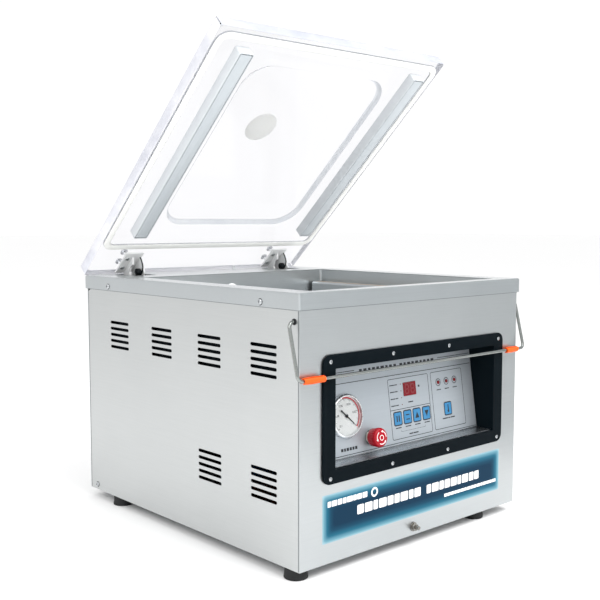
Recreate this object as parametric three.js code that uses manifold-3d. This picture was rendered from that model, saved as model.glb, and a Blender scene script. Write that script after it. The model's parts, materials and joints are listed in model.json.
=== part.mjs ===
// Tabletop vacuum packing machine: one chamber, two seal bars, a hinged clear lid and a wire bail.
// Millimetres, +Z up, +X to the right seen from the front, front towards -Y. The lid stands open.
import * as THREE from "three";
import { mergeVertices } from "three/addons/utils/BufferGeometryUtils.js";
import Module from "manifold-3d";

const wasm = await Module();
wasm.setup();

// ---------- driving dimensions ----------

const FRAME_SHIFT_Y = -3.5; // the open lid reaches further back than the bail reaches forward
const GAP = 0.3; // between pieces that touch
const SHEET = 1.5; // stainless sheet

const RIM_W = 490; // deck, outside its skirt
const RIM_D = 560;
const DECK_Z = 391; // top of the deck
const SKIRT_H = 22.5;
const BODY_W = 483; // casing below the skirt
const BODY_D = 553;
const FOOT_H = 15;
const CASING_TOP = DECK_Z - SHEET - GAP;

const CHAMBER = { x: 206, front: -256, rear: 158, floor: 303, wall: 2, corner: 5 };

const SLOT = { length: 56.7, height: 5, pitch: 10.26, rows: 5 };
const VENT = { rearEnd: 201, pitch: 125, upperZ: 315, lowerZ: 141.5 };

const BEZEL = {
  w: 402,
  z: 215.5,
  h: 178.6,
  t: 3,
  corner: 13,
  openW: 356,
  openH: 139,
  openCorner: 1.5,
  boxBack: -224,
};

const PANEL_TOP = { y: -230.4, z: 267.9 }; // origin of the inclined control panel
const PANEL_TILT = THREE.MathUtils.degToRad(8.16);
const KEY = { w: 15.6, h: 18.4, y: -82.4, x: [-11, 11, 32.7, 55, 108] };
const GAUGE = { x: -120, y: -63, bezel: 32, case: 29 };
const ESTOP = { x: -74, y: -100.5, head: 14.2, collar: 10.3 };
const WINDOW = { x: 21.5, y: -40.3, w: 29, h: 20.8 };

const PIVOT = { y: 269.5, z: 365 }; // lid hinge axis, below the deck
const HINGE_X = [-168, 169];
const LID = { w: 490, l: 545, t: 20, rear: 263.5, z: 393 }; // z of the inner face, lid closed
const LID_OPEN = THREE.MathUtils.degToRad(42.6);
const GROOVE = { x: 234.2, front: 529.5, rear: 74, w: 12, depth: 4, corner: 22 };
const PAD = { x: 189.4, w: 26.6, front: 515, rear: 115, rail: 9, t: 8.2 };

const BAR = { w: 25, h: 26, top: 368, front: -248, rear: 152 };

const BAIL = { y: -266, z: 352.5, barY: -285, barZ: 275.5, x: 251.5, wire: 2.5, bend: 9 };

// ---------- solids ----------

// A closed three.js geometry as a manifold solid with its faces outwards.
function solid(geometry) {
  const bare = geometry.clone();
  bare.deleteAttribute("normal");
  bare.deleteAttribute("uv");
  const merged = mergeVertices(bare, 1e-3);
  const triVerts = new Uint32Array(merged.index.array);
  const vertProperties = new Float32Array(merged.attributes.position.array);
  const made = new wasm.Manifold(new wasm.Mesh({ numProp: 3, vertProperties, triVerts }));
  if (made.volume() > 0) return made;
  for (let i = 0; i < triVerts.length; i += 3) {
    [triVerts[i + 1], triVerts[i + 2]] = [triVerts[i + 2], triVerts[i + 1]];
  }
  return new wasm.Manifold(new wasm.Mesh({ numProp: 3, vertProperties, triVerts }));
}

function geometryOf(body) {
  const mesh = body.getMesh();
  const positions = new Float32Array(mesh.numVert * 3);
  for (let i = 0; i < mesh.numVert; i++) {
    const start = i * mesh.numProp;
    positions.set(mesh.vertProperties.subarray(start, start + 3), i * 3);
  }
  const geometry = new THREE.BufferGeometry();
  geometry.setAttribute("position", new THREE.BufferAttribute(positions, 3));
  geometry.setIndex(new THREE.BufferAttribute(new Uint32Array(mesh.triVerts), 1));
  geometry.computeVertexNormals();
  return geometry;
}

const join = (...bodies) => bodies.reduce((a, b) => a.add(b));
const cut = (body, ...tools) => tools.reduce((a, b) => a.subtract(b), body);

function box(x0, x1, y0, y1, z0, z1) {
  const geometry = new THREE.BoxGeometry(x1 - x0, y1 - y0, z1 - z0);
  return solid(geometry.translate((x0 + x1) / 2, (y0 + y1) / 2, (z0 + z1) / 2));
}

// The plane that an outline is drawn in, by the axis that it is pushed along.
const PUSH = {
  x: [new THREE.Vector3(0, 1, 0), new THREE.Vector3(0, 0, 1), new THREE.Vector3(1, 0, 0)],
  y: [new THREE.Vector3(1, 0, 0), new THREE.Vector3(0, 0, 1), new THREE.Vector3(0, -1, 0)],
  z: [new THREE.Vector3(1, 0, 0), new THREE.Vector3(0, 1, 0), new THREE.Vector3(0, 0, 1)],
};

// Pushes an outline along an axis between two positions on it.
function prism(outline, axis, from, to, arcSteps = 3) {
  const options = { depth: to - from, bevelEnabled: false, curveSegments: arcSteps };
  const geometry = new THREE.ExtrudeGeometry(outline, options);
  geometry.applyMatrix4(new THREE.Matrix4().makeBasis(...PUSH[axis]));
  const start = new THREE.Vector3();
  start[axis] = axis === "y" ? to : from; // outlines drawn in x and z are pushed towards -y
  return solid(geometry.translate(...start));
}

function roundedRect(x, y, w, h, r) {
  const shape = new THREE.Shape();
  const [x0, x1, y0, y1] = [x - w / 2, x + w / 2, y - h / 2, y + h / 2];
  shape.moveTo(x0 + r, y0);
  shape.absarc(x1 - r, y0 + r, r, -Math.PI / 2, 0);
  shape.absarc(x1 - r, y1 - r, r, 0, Math.PI / 2);
  shape.absarc(x0 + r, y1 - r, r, Math.PI / 2, Math.PI);
  shape.absarc(x0 + r, y0 + r, r, Math.PI, 1.5 * Math.PI);
  return shape;
}

function polygon(points) {
  return new THREE.Shape(points.map(([x, y]) => new THREE.Vector2(x, y)));
}

// A cylinder along an axis; u and v place it on the other two axes, in x, y, z order.
function rod(axis, r, from, to, u, v, sides = 20) {
  const geometry = new THREE.CylinderGeometry(r, r, to - from, sides);
  const middle = (from + to) / 2;
  if (axis === "x") geometry.rotateZ(Math.PI / 2).translate(middle, u, v);
  if (axis === "y") geometry.translate(u, middle, v);
  if (axis === "z") geometry.rotateX(Math.PI / 2).translate(u, v, middle);
  return solid(geometry);
}

// A path through listed points, with a mitred cross-section at each.
class MitredPath extends THREE.Curve {
  constructor(points) {
    super();
    this.points = points;
  }
  getPointAt(u) {
    return this.points[Math.round(u * (this.points.length - 1))].clone();
  }
  getTangentAt(u) {
    const last = this.points.length - 1;
    const i = Math.round(u * last);
    const along = (k) => new THREE.Vector3().subVectors(this.points[k + 1], this.points[k]).normalize();
    return along(Math.max(i - 1, 0)).add(along(Math.min(i, last - 1))).normalize();
  }
}

// A round wire through corner points, each inner corner rounded off.
function bentWire(corners, radius, bend, sides = 10) {
  const points = corners.map((corner) => new THREE.Vector3(...corner));
  const path = [points[0]];
  for (let i = 1; i < points.length - 1; i++) {
    const back = new THREE.Vector3().subVectors(points[i - 1], points[i]).setLength(bend);
    const ahead = new THREE.Vector3().subVectors(points[i + 1], points[i]).setLength(bend);
    const [bendStart, bendEnd] = [points[i].clone().add(back), points[i].clone().add(ahead)];
    const corner = new THREE.QuadraticBezierCurve3(bendStart, points[i], bendEnd);
    path.push(...corner.getPoints(5));
  }
  path.push(points.at(-1));
  const section = new THREE.Shape().absarc(0, 0, radius, 0, 2 * Math.PI);
  const options = { extrudePath: new MitredPath(path), steps: path.length - 1, curveSegments: sides / 2 };
  return solid(new THREE.ExtrudeGeometry(section, options));
}

// ---------- materials ----------

const FINISH = {
  steel: { color: 0xc9cccb, roughness: 0.35, metalness: 1 },
  steelDark: { color: 0x9a9fa1, roughness: 0.5, metalness: 1 },
  aluminium: { color: 0xb9bdbf, roughness: 0.45, metalness: 1 },
  chrome: { color: 0xe6e8ea, roughness: 0.12, metalness: 1 },
  blackPlastic: { color: 0x14202a, roughness: 0.45, metalness: 0 },
  blackSteel: { color: 0x1a1d20, roughness: 0.5, metalness: 0.6 },
  rubber: { color: 0x151719, roughness: 0.85, metalness: 0 },
  overlay: { color: 0xc9ced6, roughness: 0.5, metalness: 0 },
  key: { color: 0x3b8fc4, roughness: 0.45, metalness: 0 },
  red: { color: 0xd3122b, roughness: 0.3, metalness: 0 },
  window: { color: 0x7a1020, roughness: 0.15, metalness: 0 },
  acrylic: { color: 0xeef1f6, roughness: 0.05, metalness: 0, transparent: true, opacity: 0.35 },
  gasket: { color: 0xecece6, roughness: 0.7, metalness: 0 },
  silicone: { color: 0xccd3d6, roughness: 0.6, metalness: 0 },
  orange: { color: 0xff6a1f, roughness: 0.55, metalness: 0 },
  white: { color: 0xf2f3f3, roughness: 0.5, metalness: 0 },
  green: { color: 0x1f6b45, roughness: 0.6, metalness: 0 },
  blue: { color: 0x2b5b86, roughness: 0.5, metalness: 0 },
  copper: { color: 0xa9622f, roughness: 0.4, metalness: 0.9 },
};

function part(parent, name, body, finish) {
  const mesh = new THREE.Mesh(geometryOf(body), new THREE.MeshStandardMaterial(FINISH[finish]));
  mesh.name = name;
  parent.add(mesh);
  return mesh;
}

// ---------- casing ----------

const HALF_W = BODY_W / 2;
const HALF_D = BODY_D / 2;
const FEET = { x: [-227, 163], y: [-253, 193], r: 17 };
const EARTH = { x: -12, z: 28 };
const INLET = { x: 165, z: 60 };

function slotOutline(x, z) {
  return roundedRect(x, z, SLOT.length, SLOT.height, SLOT.height / 2 - 0.01);
}

// One group of vent slots through a side panel, from its rear end.
function ventGroup(x0, x1, rearEnd, topZ) {
  const tools = [];
  for (let row = 0; row < SLOT.rows; row++) {
    const z = topZ - row * SLOT.pitch;
    tools.push(prism(slotOutline(rearEnd - SLOT.length / 2, z), "x", x0, x1, 1));
  }
  return tools;
}

function sidePanel(side) {
  const outer = side * HALF_W;
  const inner = side * (HALF_W - SHEET);
  const [x0, x1] = [Math.min(outer, inner), Math.max(outer, inner)];
  const [front, rear, r] = [-HALF_D + SHEET + GAP, HALF_D - SHEET - GAP, 8];
  const outline = new THREE.Shape();
  outline.moveTo(front, FOOT_H);
  outline.lineTo(rear, FOOT_H);
  outline.absarc(rear - r, CASING_TOP - SKIRT_H - r, r, 0, Math.PI / 2);
  outline.lineTo(rear - 2 * r, CASING_TOP);
  outline.lineTo(front, CASING_TOP);
  const tools = [];
  for (let column = 0; column < 4; column++) {
    const rearEnd = VENT.rearEnd - column * VENT.pitch;
    tools.push(...ventGroup(x0 - 1, x1 + 1, rearEnd, VENT.upperZ));
    if (column >= 2) tools.push(...ventGroup(x0 - 1, x1 + 1, rearEnd, VENT.lowerZ));
  }
  tools.push(rod("x", 4.6, x0 - 1, x1 + 1, BAIL.y, BAIL.z));
  return cut(prism(outline, "x", x0, x1), ...tools);
}

function frontPanel() {
  const plate = box(-HALF_W, HALF_W, -HALF_D, -HALF_D + SHEET, FOOT_H, CASING_TOP);
  const opening = roundedRect(0, BEZEL.z, BEZEL.openW + 6, BEZEL.openH + 6, 4);
  return cut(
    plate,
    prism(opening, "y", -HALF_D - 1, -HALF_D + SHEET + 1),
    rod("y", 3.4, -HALF_D - 1, -HALF_D + SHEET + 1, EARTH.x, EARTH.z, 12),
  );
}

function rearPanel() {
  const plate = box(-HALF_W, HALF_W, HALF_D - SHEET, HALF_D, FOOT_H, CASING_TOP);
  const [y0, y1] = [HALF_D - SHEET - 1, HALF_D + 1];
  const tools = [prism(roundedRect(INLET.x, INLET.z, 28.6, 20.6, 3), "y", y0, y1, 1)];
  for (const x of [-130, -50]) {
    for (let row = 0; row < SLOT.rows; row++) {
      tools.push(prism(slotOutline(x, 150 - row * SLOT.pitch), "y", y0, y1, 1));
    }
  }
  return cut(plate, ...tools);
}

function basePlate() {
  const [x, y, lip] = [HALF_W - SHEET - GAP, HALF_D - SHEET - GAP, 22];
  const tray = cut(
    box(-x, x, -y, y, FOOT_H + GAP, FOOT_H + lip),
    box(-x + SHEET, x - SHEET, -y + SHEET, y - SHEET, FOOT_H + GAP + 2, FOOT_H + lip + 1),
  );
  const relief = box(EARTH.x - 14, EARTH.x + 14, -y - 1, -y + SHEET + 1, FOOT_H + 4, FOOT_H + lip + 1);
  const holes = FEET.x.flatMap((fx) => FEET.y.map((fy) => rod("z", 4.2, FOOT_H - 1, FOOT_H + 4, fx, fy, 10)));
  return cut(tray, relief, ...holes);
}

// A rubber foot with its threaded stud up through the base plate.
function foot(x, y) {
  const profile = [
    [0, 0],
    [FEET.r - 1.5, 0],
    [FEET.r, 1.5],
    [FEET.r - 1.5, FOOT_H],
    [4, FOOT_H],
    [4, FOOT_H + 9],
    [0, FOOT_H + 9],
  ].map(([r, z]) => new THREE.Vector2(r, z));
  const geometry = new THREE.LatheGeometry(profile, 24).rotateX(Math.PI / 2).translate(x, y, 0);
  return solid(geometry);
}

function earthStud() {
  const [y, x, z] = [-HALF_D, EARTH.x, EARTH.z];
  return join(
    rod("y", 3, y - 12, y + 12, x, z, 12),
    rod("y", 7, y - GAP - 1.5, y - GAP, x, z, 20),
    rod("y", 5.8, y - 6, y - GAP - 1.4, x, z, 6),
    rod("y", 5.8, y + SHEET + GAP, y + 6.5, x, z, 6),
  );
}

// Mains inlet socket let into the rear panel.
function powerInlet() {
  const y = HALF_D;
  const shell = join(
    prism(roundedRect(INLET.x, INLET.z, 50, 24, 4), "y", y + GAP, y + 3, 2),
    prism(roundedRect(INLET.x, INLET.z, 28, 20, 2.6), "y", y - 22, y + 1, 1),
  );
  const socket = prism(roundedRect(INLET.x, INLET.z, 24.5, 16.5, 2), "y", y - 15, y + 4, 1);
  const blades = [-7, 0, 7].map((dx, i) => {
    const z = INLET.z + (i === 1 ? 2 : -2);
    return box(INLET.x + dx - 1, INLET.x + dx + 1, y - 16, y - 1, z - 2, z + 2);
  });
  return join(cut(shell, socket), ...blades);
}

// ---------- deck and chamber ----------

const HINGE_SLOT = { half: 21, front: 201, rear: 276.8 };
const SWITCH = { x: 58, y: 246, r: 3 };

function deck() {
  const shell = (grow, z0, z1, r) => prism(roundedRect(0, 0, RIM_W - grow, RIM_D - grow, r), "z", z0, z1, 2);
  const skirtFoot = DECK_Z - SKIRT_H;
  const outside = join(
    shell(0, skirtFoot, DECK_Z - 2, 3),
    shell(1.2, DECK_Z - 2.01, DECK_Z - 0.6, 2.4),
    shell(4, DECK_Z - 0.61, DECK_Z, 1.5),
  );
  const inside = shell(2 * SHEET, skirtFoot - 1, DECK_Z - SHEET, 1.5);
  const middle = (CHAMBER.front + CHAMBER.rear) / 2;
  const opening = roundedRect(0, middle, 2 * CHAMBER.x, CHAMBER.rear - CHAMBER.front, 5);
  const slots = HINGE_X.map((x) =>
    box(x - HINGE_SLOT.half, x + HINGE_SLOT.half, HINGE_SLOT.front, HINGE_SLOT.rear, DECK_Z - 3, DECK_Z + 1),
  );
  return cut(
    outside,
    inside,
    prism(opening, "z", DECK_Z - 3, DECK_Z + 1, 2),
    rod("z", SWITCH.r + 0.4, DECK_Z - 3, DECK_Z + 1, SWITCH.x, SWITCH.y, 12),
    ...slots,
  );
}

const PORT = { x: -17, z: 361, r: 12 };

function chamber() {
  const { x, front, rear, floor, wall, corner } = CHAMBER;
  const [y, depth, top] = [(front + rear) / 2, rear - front, CASING_TOP];
  const outline = (grow) => roundedRect(0, y, 2 * (x + grow), depth + 2 * grow, corner + grow);
  return cut(
    prism(outline(wall), "z", floor - wall, top, 3),
    prism(outline(0), "z", floor, top + 1, 3),
    rod("y", 8.4, rear - 1, rear + wall + 1, PORT.x, PORT.z),
  );
}

// Suction fitting through the chamber's rear wall: a domed nut inside, a hose tail outside.
function vacuumPort() {
  const { rear, wall } = CHAMBER;
  const dome = [
    [0, 12],
    [7, 11],
    [11, 7.5],
    [PORT.r, 3],
    [PORT.r, GAP],
    [8, GAP],
    [8, -wall - 5],
    [9.5, -wall - 5],
    [8, -wall - 18],
    [4, -wall - 18],
    [4, -wall - 10],
    [0, -wall - 10],
  ].map(([r, depth]) => new THREE.Vector2(r, -depth));
  return solid(new THREE.LatheGeometry(dome, 24).translate(PORT.x, rear, PORT.z));
}

function fillerPlate() {
  const plate = prism(roundedRect(0, -50, 316, 340, 14), "z", CHAMBER.floor + GAP, CHAMBER.floor + 15, 3);
  const grips = [-1, 1].map((side) => rod("z", 11, CHAMBER.floor - 1, CHAMBER.floor + 16, side * 120, -50));
  return cut(plate, ...grips);
}

// ---------- seal bars ----------

const CARRIER = { w: 29, wall: 3, top: CHAMBER.floor + 34 };
const BLADDER_TOP = CHAMBER.floor + 22;

// Bar with its two guide pins, which slide in the carrier.
function sealBar(x) {
  const [x0, x1] = [x - BAR.w / 2, x + BAR.w / 2];
  const bottom = BAR.top - BAR.h;
  const profile = polygon([
    [x0, bottom],
    [x1, bottom],
    [x1, BAR.top - 3],
    [x1 - 3, BAR.top],
    [x0 + 3, BAR.top],
    [x0, BAR.top - 3],
  ]);
  const pins = BAR_PINS.map((y) => rod("z", 4, CHAMBER.floor + 8, bottom + 1, x, y, 12));
  const pushPlate = box(x - 9, x + 9, BAR.front + 60, BAR.rear - 60, BLADDER_TOP + GAP, bottom + 1);
  return join(prism(profile, "y", BAR.front, BAR.rear), pushPlate, ...pins);
}

const BAR_PINS = [BAR.front + 22, BAR.rear - 22];

function sealCarrier(x) {
  const { w, wall, top } = CARRIER;
  const floor = CHAMBER.floor + GAP;
  const [x0, x1] = [x - w / 2, x + w / 2];
  const channel = cut(
    box(x0, x1, BAR.front + 4, BAR.rear - 4, floor, top),
    box(x0 + wall, x1 - wall, BAR.front + 3, BAR.rear - 3, floor + wall, top + 1),
  );
  const guides = BAR_PINS.map((y) => rod("z", 8, floor + wall - 0.1, top - 6, x, y, 16));
  const bores = BAR_PINS.map((y) => rod("z", 4.4, floor + wall, top, x, y, 16));
  return cut(join(channel, ...guides), ...bores);
}

function liftBladder(x) {
  const outline = roundedRect(x, (BAR.front + BAR.rear) / 2, 22, BAR.rear - BAR.front - 120, 10);
  return prism(outline, "z", CHAMBER.floor + GAP + CARRIER.wall + GAP, BLADDER_TOP, 3);
}

// ---------- lid ----------

// Lid coordinates: l runs from the lid's rear edge to its front, n up from its inner face, lid closed.
const lidY = (l) => LID.rear - PIVOT.y - l;
const lidZ = (n) => LID.z - PIVOT.z + n;

function lidRing(half, front, rear, corner) {
  return roundedRect(0, lidY((front + rear) / 2), 2 * half, front - rear, corner);
}

const BOLTS = { l: [22, 46], dx: -10, r: 3 };

function lidPlate() {
  const slab = (inset, n0, n1) => {
    const outline = lidRing(LID.w / 2 - inset, LID.l - inset, inset, 6 - inset);
    return prism(outline, "z", lidZ(n0), lidZ(n1), 2);
  };
  const { x, front, rear, w, depth, corner } = GROOVE;
  const groove = cut(
    prism(lidRing(x + w / 2, front + w / 2, rear - w / 2, corner), "z", lidZ(-1), lidZ(depth), 4),
    prism(lidRing(x - w / 2, front - w / 2, rear + w / 2, corner - w), "z", lidZ(-2), lidZ(depth + 1), 4),
  );
  const recess = join(
    prism(lidRing(153, 489, 131, 48), "z", lidZ(-1), lidZ(4), 4),
    prism(lidRing(149, 485, 135, 44), "z", lidZ(3.9), lidZ(9), 4),
  );
  const rails = [-1, 1].map((side) => {
    const [middle, length] = [lidY((PAD.front + PAD.rear) / 2), PAD.front - PAD.rear - 12];
    const outline = roundedRect(side * PAD.x, middle, 20, length, 3);
    return prism(outline, "z", lidZ(-PAD.rail), lidZ(1), 1);
  });
  const holes = HINGE_X.flatMap((hx) =>
    BOLTS.l.map((l) => rod("z", BOLTS.r + 0.4, lidZ(-1), lidZ(LID.t + 1), hx + BOLTS.dx, lidY(l), 12)),
  );
  const body = join(slab(0, 0, LID.t - 1.5), slab(1.5, LID.t - 1.51, LID.t), ...rails);
  return cut(body, groove, recess, ...holes);
}

function lidGasket() {
  const { x, front, rear, w, depth, corner } = GROOVE;
  const half = w / 2 - GAP;
  const outer = lidRing(x + half, front + half, rear - half, corner - GAP);
  const inner = lidRing(x - half, front - half, rear + half, corner - w + GAP);
  return cut(
    prism(outer, "z", lidZ(-1.7), lidZ(depth - GAP), 4),
    prism(inner, "z", lidZ(-2), lidZ(depth), 4),
  );
}

// Silicone pad under a rail, opposite a seal bar.
function pressPad(x) {
  const outline = roundedRect(x, lidY((PAD.front + PAD.rear) / 2), PAD.w, PAD.front - PAD.rear, 4);
  return prism(outline, "z", lidZ(-PAD.rail - GAP - PAD.t), lidZ(-PAD.rail - GAP), 2);
}

// ---------- lid hinges ----------

const DRUM = { l: 33.8, n: -22.5, r: 8 };
const LOBE = 5;

// Leaf on the lid's inner face, with a gusset and a cheek that reach down to the hinge pin.
function hingeBracket(x) {
  const at = (points) => polygon(points.map(([l, n]) => [lidY(l), lidZ(n)]));
  const leaf = box(x - 18, x + 18, lidY(60), lidY(8), lidZ(-3.3), lidZ(-GAP));
  const pivotLobe = (x0, x1) => rod("x", LOBE, x0, x1, 0, 0);
  const gussetOutline = at([
    [10, -3],
    [50, -3],
    [41, -12.5],
    [31, -10.5],
    [23.5, -15],
    [21, -23],
    [22, -30],
    [-4.6, -32.8],
    [-9.7, -24.7],
  ]);
  const cheekOutline = at([
    [10, -3],
    [50, -3],
    [44, -22],
    [40, -31],
    [33, -33.5],
    [-4.6, -32.8],
    [-9.7, -24.7],
  ]);
  const [gusset, cheek] = [
    [x - 2, x + 2],
    [x + 14.5, x + 17.5],
  ];
  const body = join(
    leaf,
    prism(gussetOutline, "x", ...gusset),
    pivotLobe(...gusset),
    prism(cheekOutline, "x", ...cheek),
    pivotLobe(...cheek),
  );
  const bolts = BOLTS.l.map((l) => rod("z", BOLTS.r + 0.4, lidZ(-5), lidZ(1), x + BOLTS.dx, lidY(l), 12));
  return cut(body, rod("x", 2.8, x - 25, x + 25, 0, 0, 16), ...bolts);
}

// Drum between gusset and cheek, with the leg that lies along the leaf.
function hingeSpring(x) {
  const [y, z] = [lidY(DRUM.l), lidZ(DRUM.n)];
  const drum = rod("x", DRUM.r, x + 2 + GAP, x + 14.5 - GAP, y, z, 24);
  const legX = x + 11;
  const leg = bentWire(
    [
      [legX, y - 4, z - 2],
      [legX, y - 15, z + 4],
      [legX, lidY(52), lidZ(-5.2)],
    ],
    1.5,
    6,
    8,
  );
  return join(drum, leg);
}

function hingeBase(x) {
  const [y0, y1] = [PIVOT.y - 8, PIVOT.y + 5];
  const ears = [-1, 1].map((side) => {
    const [a, b] = [x + side * 24.5, x + side * 21.5].sort((p, q) => p - q);
    return box(a, b, y0, y1, 342, CASING_TOP - 1);
  });
  const flanges = [-1, 1].map((side) => {
    const [a, b] = [x + side * 36, x + side * 21.5].sort((p, q) => p - q);
    return box(a, b, y0, y1, CASING_TOP - 3, CASING_TOP);
  });
  const bridge = box(x - 24.5, x + 24.5, y0, y1, 340, 343);
  return cut(join(bridge, ...ears, ...flanges), rod("x", 2.8, x - 26, x + 26, PIVOT.y, PIVOT.z, 16));
}

function hingePin(x) {
  const shaft = rod("x", 2.5, x - 26, x + 26, PIVOT.y, PIVOT.z, 16);
  const head = rod("x", 4, x + 25, x + 27.5, PIVOT.y, PIVOT.z, 16);
  return join(shaft, head);
}

// ---------- lid switch ----------

function switchPin() {
  return join(
    rod("z", SWITCH.r, 372, DECK_Z + 8, SWITCH.x, SWITCH.y, 16),
    rod("z", SWITCH.r - 1, DECK_Z + 7.9, DECK_Z + 8.6, SWITCH.x, SWITCH.y, 16),
  );
}

function switchBody() {
  const housing = box(SWITCH.x - 11, SWITCH.x + 11, SWITCH.y - 8, SWITCH.y + 8, 345, 380);
  return cut(housing, rod("z", SWITCH.r + 0.4, 362, 381, SWITCH.x, SWITCH.y, 16));
}

// ---------- control box ----------

function controlBezel() {
  const face = -HALF_D - GAP;
  const { w, z, h, t, corner, openW, openH, openCorner, boxBack } = BEZEL;
  const opening = (grow) => roundedRect(0, z, openW + 2 * grow, openH + 2 * grow, openCorner + grow);
  return cut(
    join(
      prism(roundedRect(0, z, w, h, corner), "y", face - t, face, 4),
      prism(opening(2), "y", face - 1, boxBack, 3),
    ),
    prism(opening(0), "y", face - t - 1, boxBack + 1, 3),
  );
}

// Inclined back wall of the control box and the shelf in front of it, bent from one sheet.
function controlPanel() {
  const slope = Math.tan(PANEL_TILT);
  const faceY = (z) => PANEL_TOP.y + (z - PANEL_TOP.z) * slope;
  const [shelf, top] = [146, 284];
  const back = SHEET / Math.cos(PANEL_TILT);
  const profile = polygon([
    [-HALF_D + 1, shelf],
    [faceY(shelf) + back, shelf],
    [faceY(top) + back, top],
    [faceY(top), top],
    [faceY(shelf + SHEET), shelf + SHEET],
    [-HALF_D + 1, shelf + SHEET],
  ]);
  const { z, openW, openH, openCorner, boxBack } = BEZEL;
  const inside = roundedRect(0, z, openW - 2 * GAP, openH - 2 * GAP, openCorner - GAP);
  const sheet = prism(profile, "x", -openW / 2, openW / 2);
  return sheet.intersect(prism(inside, "y", -HALF_D, boxBack, 3));
}

// The control panel with its holes, which are square to the slope.
function cutPanel() {
  const turned = new THREE.Matrix4().makeRotationX(Math.PI / 2 - PANEL_TILT);
  turned.setPosition(0, PANEL_TOP.y, PANEL_TOP.z);
  const tools = panelHoles(-4, 2, GAUGE.case).map((tool) => solid(geometryOf(tool).applyMatrix4(turned)));
  return cut(controlPanel(), ...tools);
}

// Panel coordinates: x across, y up the slope from the top line, z out of the panel.
function panelHoles(z0, z1, gaugeR) {
  return [
    rod("z", gaugeR, z0, z1, GAUGE.x, GAUGE.y, 32),
    rod("z", 8.5, z0, z1, ESTOP.x, ESTOP.y, 20),
    box(WINDOW.x - 13.5, WINDOW.x + 13.5, WINDOW.y - 9.4, WINDOW.y + 9.4, z0, z1),
  ];
}

function overlay() {
  const film = prism(roundedRect(0, -53, 352, 135, 2), "z", GAP, 1.1, 1);
  const keys = KEY.x.map((x) =>
    prism(roundedRect(x, KEY.y, KEY.w + 2 * GAP, KEY.h + 2 * GAP, 1.8), "z", 0, 2, 1),
  );
  const display = box(
    WINDOW.x - WINDOW.w / 2 - GAP,
    WINDOW.x + WINDOW.w / 2 + GAP,
    WINDOW.y - WINDOW.h / 2 - GAP,
    WINDOW.y + WINDOW.h / 2 + GAP,
    0,
    2,
  );
  const estop = rod("z", ESTOP.collar + GAP, 0, 2, ESTOP.x, ESTOP.y, 28);
  return cut(film, ...panelHoles(0, 2, GAUGE.bezel + GAP), display, estop, ...keys);
}

function membraneKey(x) {
  return prism(roundedRect(x, KEY.y, KEY.w, KEY.h, 1.6), "z", GAP + 0.5, 1.7, 1);
}

function displayWindow() {
  const outline = roundedRect(WINDOW.x, WINDOW.y, WINDOW.w, WINDOW.h, 1.2);
  const lens = prism(outline, "z", GAP, 1.6, 1);
  const block = box(WINDOW.x - 13, WINDOW.x + 13, WINDOW.y - 9, WINDOW.y + 9, -8, GAP + 0.1);
  return join(lens, block);
}

function lathePart(points, x, y, sides = 32) {
  const profile = points.map(([r, z]) => new THREE.Vector2(r, z));
  return solid(new THREE.LatheGeometry(profile, sides).rotateX(Math.PI / 2).translate(x, y, 0));
}

const DIAL_Z = 2;

function gaugeCase() {
  return lathePart(
    [
      [0, -26],
      [GAUGE.case - 3, -26],
      [GAUGE.case - 0.5, -23],
      [GAUGE.case - 0.5, GAP],
      [GAUGE.bezel, GAP],
      [GAUGE.bezel, 4],
      [GAUGE.bezel - 2.2, 7],
      [GAUGE.bezel - 3.6, 6.6],
      [GAUGE.bezel - 3.6, 5.4],
      [GAUGE.bezel - 4, DIAL_Z],
      [1.8, DIAL_Z],
      [1.8, DIAL_Z - 8],
      [0, DIAL_Z - 8],
    ],
    GAUGE.x,
    GAUGE.y,
  );
}

function gaugeGlass() {
  return rod("z", GAUGE.bezel - 3.9, 5.5, 6.5, GAUGE.x, GAUGE.y, 32);
}

const NEEDLE_REST = THREE.MathUtils.degToRad(-42);

function gaugeNeedle() {
  const blade = polygon([
    [-10, -1.3],
    [0, -0.9],
    [23, -0.25],
    [23, 0.25],
    [0, 0.9],
    [-10, 1.3],
  ]);
  const geometry = new THREE.ExtrudeGeometry(blade, { depth: 0.5, bevelEnabled: false });
  geometry.rotateZ(NEEDLE_REST).translate(GAUGE.x, GAUGE.y, DIAL_Z + 1.2);
  return join(
    solid(geometry),
    rod("z", 2.6, DIAL_Z + 0.9, DIAL_Z + 2.2, GAUGE.x, GAUGE.y, 16),
    rod("z", 1.3, DIAL_Z - 6, DIAL_Z + 1, GAUGE.x, GAUGE.y, 12),
  );
}

function estopCollar() {
  return lathePart(
    [
      [5.6, -30],
      [8.1, -30],
      [8.1, GAP],
      [ESTOP.collar, GAP],
      [ESTOP.collar, 2.5],
      [ESTOP.collar - 1.5, 4],
      [5.6, 4],
      [5.6, -30],
    ],
    ESTOP.x,
    ESTOP.y,
  );
}

function estopStem() {
  return lathePart(
    [
      [0, -26],
      [5.2, -26],
      [5.2, 10.4],
      [3, 10.4],
      [3, 17],
      [0, 17],
    ],
    ESTOP.x,
    ESTOP.y,
    20,
  );
}

function estopHead() {
  const { head } = ESTOP;
  return lathePart(
    [
      [3.4, 10.8],
      [11, 10.8],
      [11, 7.4],
      [12.4, 7.4],
      [12.6, 14],
      [head, 15.5],
      [head, 20.5],
      [head - 1.2, 23],
      [head - 4, 24.2],
      [0, 24.6],
      [0, 17.4],
      [3.4, 17.4],
      [3.4, 10.8],
    ],
    ESTOP.x,
    ESTOP.y,
  );
}

function controlBoard() {
  const board = box(-30, 150, -112, -20, -13.6, -12);
  const chips = [
    box(-10, 30, -75, -55, -17, -13.5),
    box(60, 84, -100, -60, -28, -13.5),
    box(100, 140, -100, -70, -32, -13.5),
  ];
  return join(board, ...chips);
}

// ---------- bail ----------

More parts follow.
